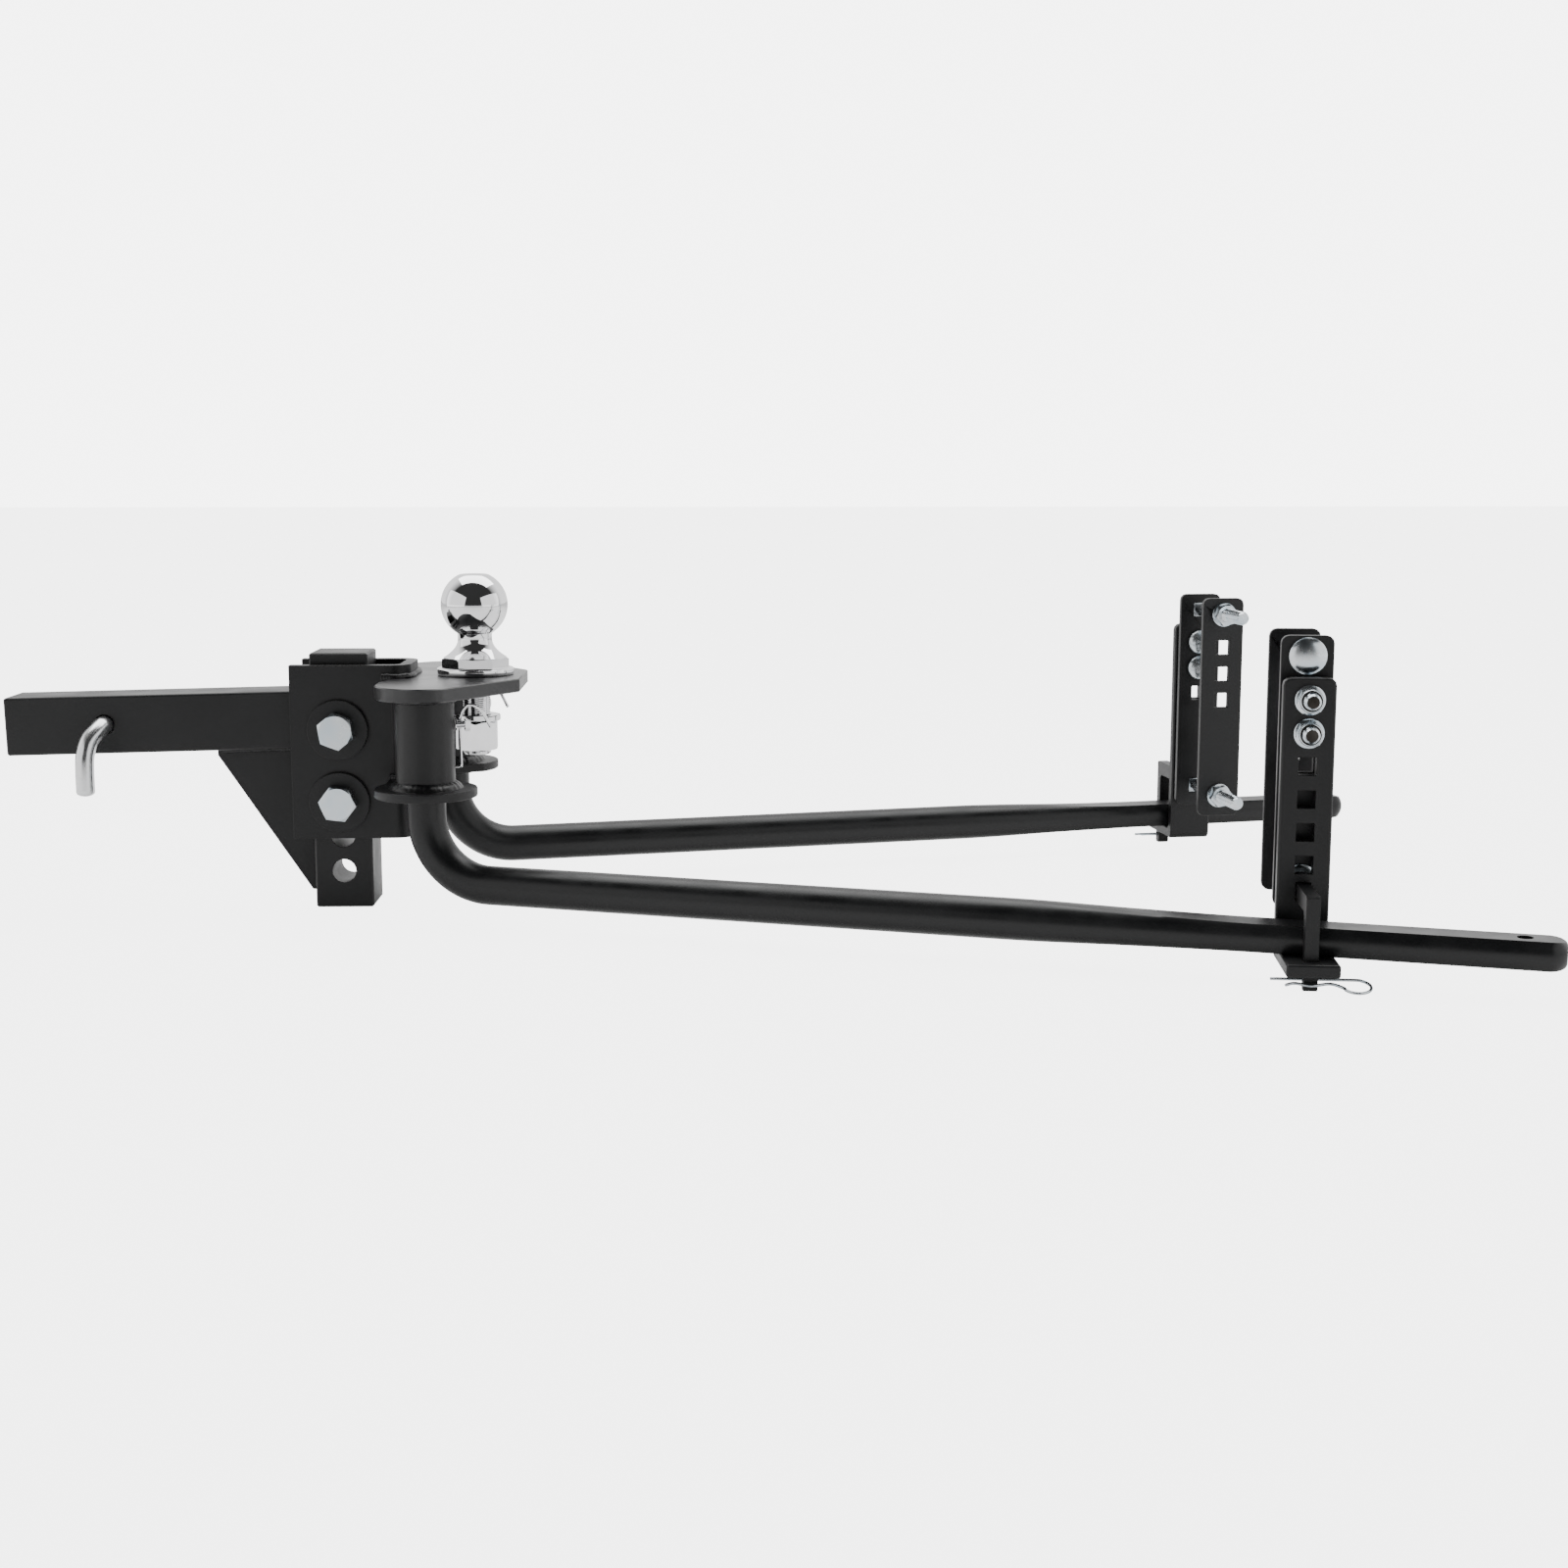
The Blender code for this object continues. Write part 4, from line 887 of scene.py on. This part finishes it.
def make_bar_clips():
    for name, side in SIDES.items():
        joint = JOINTS[f"{name}_bar_clip_swing"]
        pivot = Vector(joint["pos_m"])
        across = Vector(joint["axis"]).normalized()
        outward = across.cross(Vector((0, 0, 1))).normalized()
        if outward.x < 0:
            outward = -outward
        turn = Matrix((outward, Vector((0, 0, 1)).cross(outward), (0, 0, 1))).transposed()
        tube_low, tube_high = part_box(f"{name}_socket_tube")
        tube = Vector(((tube_low.x + tube_high.x) / 2, (tube_low.y + tube_high.y) / 2, pivot.z))
        outer = (tube_high.x - tube_low.x) / 2
        place = Matrix.Translation(tube) @ turn.to_4x4()
        drop = BAR_GROOVE - pivot.z
        out = (pivot - tube).length
        eye = CLIP_BOLT_RADIUS + 0.0003 + BAR_CLIP_WIRE
        points = [Vector((BAR_RADIUS - 0.0035, 0, drop)), Vector((outer - 0.004, 0, drop))]
        points += [Vector((out - 0.001, 0, drop + 0.0005)), Vector((out, 0, drop + 0.004))]
        points += [Vector((out, -side * eye * 0.8, drop * 0.5)), Vector((out, -side * eye, -0.003))]
        points += [Vector((out, -side * eye, 0.003)), Vector((out + 0.003, -side * eye * 0.6, 0.012))]
        points += [Vector((out + 0.009, 0, 0.0165)), Vector((out + 0.018, 0, 0.011))]
        points += [Vector((out + 0.026, 0, -0.003))]
        work = bmesh.new()
        add_sweep(work, smooth_path(points, 8), BAR_CLIP_WIRE)
        stand_in(f"{name}_bar_clip", work, CHROME, place, WIRE_ANGLE)
        work = bmesh.new()
        base = outer + 0.0003
        add_thread(work, CLIP_BOLT_RADIUS, base, base + 0.009, CLIP_BOLT_PITCH, 24)
        collar = [(0.0052, base), (0.0057, base + 0.0004), (0.0057, base + 0.0012), (0.0052, base + 0.0016)]
        add_lathe(work, collar, THREAD_SIDES)
        add_hex(work, CLIP_BOLT_CORNER, base + 0.0082, base + 0.0130)
        upright = Matrix.Rotation(math.radians(90), 4, "Y")
        stand_in(f"{name}_bar_clip_bolt", work, CHROME, place @ upright, FACET_ANGLE)


# ---------------------------------------------------------------- spring bars


def section(half_width, half_height, flat):
    """Points round a circle at flat = 0, and at flat = 1 round one cut off level at top and bottom."""
    corner = math.asin(half_height / half_width)
    made = []
    for step in range(BAR_SIDES):
        angle = 2 * math.pi * step / BAR_SIDES
        c, s = math.cos(angle), math.sin(angle)
        share = math.atan2(abs(s), abs(c)) / (math.pi / 2)
        turn = corner * min(1.0, share / FLAT_SIDE_SHARE)
        inwards = min(1.0, (1 - share) / (1 - FLAT_SIDE_SHARE))
        across = math.copysign(half_width * math.cos(turn) * inwards, c)
        up = math.copysign(half_width * math.sin(turn), s)
        round_point = Vector((half_width * c, half_width * s))
        made.append(round_point.lerp(Vector((across, up)), flat))
    return made


def bar_rings(top, height, length):
    """Rings from the trunnion's top, down through the bend and along to the flattened end."""
    rings = []
    edge = TRUNNION_EDGE
    upright = [(top, BAR_RADIUS - edge), (top - edge * 0.3, BAR_RADIUS - edge * 0.3)]
    upright += [(top - edge, BAR_RADIUS)]
    upright += [(BAR_GROOVE + GROOVE_HALF + 0.0018, BAR_RADIUS), (BAR_GROOVE + GROOVE_HALF, GROOVE_RADIUS)]
    upright += [(BAR_GROOVE - GROOVE_HALF, GROOVE_RADIUS), (BAR_GROOVE - GROOVE_HALF - 0.0018, BAR_RADIUS)]
    for level, radius in upright:
        rings.append([Vector((-v, u, level)) for u, v in section(radius, radius, 0)])
    for step in range(BEND_STEPS + 1):
        angle = math.pi / 2 * step / BEND_STEPS
        x = BAR_BEND * (1 - math.cos(angle))
        z = height + BAR_BEND * (1 - math.sin(angle))
        outward = Vector((-math.cos(angle), 0, -math.sin(angle)))
        ring = section(BAR_RADIUS, BAR_RADIUS, 0)
        rings.append([Vector((x, u, z)) + outward * v for u, v in ring])
    for step in range(FLAT_STEPS + 1):
        t = step / FLAT_STEPS
        blend = t * t * (3 - 2 * t)
        width = BAR_RADIUS + (FLAT_HALF_WIDTH - BAR_RADIUS) * blend
        along = FLAT_START + (FLAT_FULL - FLAT_START) * t
        rings.append([Vector((along, u, height - v)) for u, v in section(width, FLAT_HALF_HEIGHT, blend)])
    ends = [(0.012, 0.0, 0.0), (0.008, 0.0012, 0.0002), (0.0045, 0.0034, 0.0006), (0.0018, 0.0062, 0.0014)]
    ends += [(0.0006, 0.0078, 0.0024), (0.0, 0.0092, 0.0036)]
    for back, narrower, thinner in ends:
        ring = section(FLAT_HALF_WIDTH - narrower, FLAT_HALF_HEIGHT - thinner, 1)
        rings.append([Vector((length - back, u, height - v)) for u, v in ring])
    return rings


def make_spring_bars():
    for name in SIDES:
        ahead = Vector(JOINTS[f"{name}_bracket_slide"]["axis"]).normalized()
        turn = Matrix((ahead, Vector((0, 0, 1)).cross(ahead), (0, 0, 1))).transposed()
        node = f"{name}_spring_bar"
        low, high = spans(node, turn)
        axis = Vector(JOINTS[f"{name}_bar_swing"]["pos_m"])
        foot = turn.transposed() @ axis
        work = bmesh.new()
        add_skin(work, bar_rings(high.z, low.z + BAR_RADIUS, high.x - foot.x))
        place = Matrix.Translation((axis.x, axis.y, 0)) @ turn.to_4x4()
        bar = stand_in(node, work, BAR_PAINT, place, ROUND_ANGLE)
        drill(bar, place @ Matrix.Translation((high.x - foot.x - BAR_HOLE_FROM_END, 0, 0)), BAR_HOLE)


def drill(target, place, radius):
    """Cuts an upright hole through a piece, and applies the cut to its mesh."""
    work = bmesh.new()
    add_lathe(work, [(radius, 0.0), (radius, 0.08)], THREAD_SIDES)
    bmesh.ops.recalc_face_normals(work, faces=work.faces)
    mesh = bpy.data.meshes.new("drill")
    work.to_mesh(mesh)
    work.free()
    mesh.transform(place)
    tool = bpy.data.objects.new("drill", mesh)
    bpy.context.scene.collection.objects.link(tool)
    step = target.modifiers.new("hole", "BOOLEAN")
    step.operation = "DIFFERENCE"
    step.object = tool
    bpy.context.view_layer.update()
    graph = bpy.context.evaluated_depsgraph_get()
    done = bpy.data.meshes.new_from_object(target.evaluated_get(graph))
    target.modifiers.clear()
    target.data = done
    done.set_sharp_from_angle(angle=math.radians(ROUND_ANGLE))
    bpy.data.objects.remove(tool)


# ---------------------------------------------------------------- studio


def stage_material(name, colour, roughness):
    made = bpy.data.materials.new(name)
    made.use_nodes = True
    shader = made.node_tree.nodes["Principled BSDF"]
    shader.inputs["Base Color"].default_value = (*colour, 1.0)
    shader.inputs["Roughness"].default_value = roughness
    return made


def make_light(name, size, place, target, power):
    light = bpy.data.lights.new(name, "AREA")
    light.shape = "RECTANGLE"
    light.size, light.size_y = size
    light.energy = power
    made = bpy.data.objects.new(name, light)
    made.location = place
    made.rotation_euler = (Vector(target) - Vector(place)).to_track_quat("-Z", "Y").to_euler()
    made.visible_camera = False
    bpy.context.scene.collection.objects.link(made)


def make_world():
    """The camera sees a near-white backdrop. Reflections see one that is bright behind and dark in front."""
    world = bpy.data.worlds.new("studio")
    world.use_nodes = True
    tree = world.node_tree
    backdrop = tree.nodes["Background"]
    backdrop.inputs["Color"].default_value = (1.0, 1.0, 1.0, 1.0)
    backdrop.inputs["Strength"].default_value = BACKDROP
    room = tree.nodes.new("ShaderNodeBackground")
    place = tree.nodes.new("ShaderNodeTexCoord")
    parts = tree.nodes.new("ShaderNodeSeparateXYZ")
    tree.links.new(place.outputs["Generated"], parts.inputs["Vector"])
    fade = add_range(tree, parts.outputs["Y"], ROOM_FRONT, ROOM_BACK, -0.15, 0.45)
    tree.links.new(fade, room.inputs["Strength"])
    rays = tree.nodes.new("ShaderNodeLightPath")
    mix = tree.nodes.new("ShaderNodeMixShader")
    tree.links.new(rays.outputs["Is Camera Ray"], mix.inputs[0])
    tree.links.new(room.outputs["Background"], mix.inputs[1])
    tree.links.new(backdrop.outputs["Background"], mix.inputs[2])
    tree.links.new(mix.outputs["Shader"], tree.nodes["World Output"].inputs["Surface"])
    bpy.context.scene.world = world


def floor_material():
    """Pale floor that looks nearly as bright as the backdrop, with a faint shadow under the object."""
    made = stage_material("floor", (0.82, 0.82, 0.82), 0.7)
    tree = made.node_tree
    glow = tree.nodes.new("ShaderNodeEmission")
    glow.inputs["Strength"].default_value = BACKDROP
    rays = tree.nodes.new("ShaderNodeLightPath")
    amount = add_range(tree, rays.outputs["Is Camera Ray"], FLOOR_BOUNCE, FLOOR_GLOW, 0.0, 1.0)
    mix = tree.nodes.new("ShaderNodeMixShader")
    tree.links.new(amount, mix.inputs[0])
    tree.links.new(tree.nodes["Principled BSDF"].outputs["BSDF"], mix.inputs[1])
    tree.links.new(glow.outputs["Emission"], mix.inputs[2])
    tree.links.new(mix.outputs["Shader"], tree.nodes["Material Output"].inputs["Surface"])
    return made


def make_floor():
    work = bmesh.new()
    bmesh.ops.create_grid(work, x_segments=1, y_segments=1, size=0.5)
    mesh = bpy.data.meshes.new("floor")
    work.to_mesh(mesh)
    work.free()
    mesh.materials.append(floor_material())
    made = bpy.data.objects.new("floor", mesh)
    made.scale = (*FLOOR_SIZE, 1.0)
    made.location = (0.3, 0.0, -0.0004)
    bpy.context.scene.collection.objects.link(made)


def make_studio():
    make_floor()
    for name, x, target in (("left_wall", -1.45, (0.1, -0.3, 0.35)), ("right_wall", 2.0, (0.5, -0.3, 0.35))):
        make_light(name, WALL_SIZE, (x, -0.9, WALL_HEIGHT), target, WALL_POWER)
    make_light("top_softbox", SOFTBOX_SIZE, (0.3, 0.5, 2.0), (0.3, 0.0, 0.0), SOFTBOX_POWER)
    make_world()


def make_camera():
    lens = bpy.data.cameras.new("camera")
    lens.lens = CAMERA_LENS
    lens.sensor_width = 36.0
    made = bpy.data.objects.new("camera", lens)
    made.location = CAMERA_PLACE
    made.rotation_euler = CAMERA_TURN
    bpy.context.scene.collection.objects.link(made)
    bpy.context.scene.camera = made


make_camera()
make_studio()
make_plates()
make_welds()
make_tow_ball()
make_ball_nut()
make_main_bolts()
make_bracket_bolts()
make_hitch_pin()
make_retainer_clips()
make_bar_clips()
make_spring_bars()
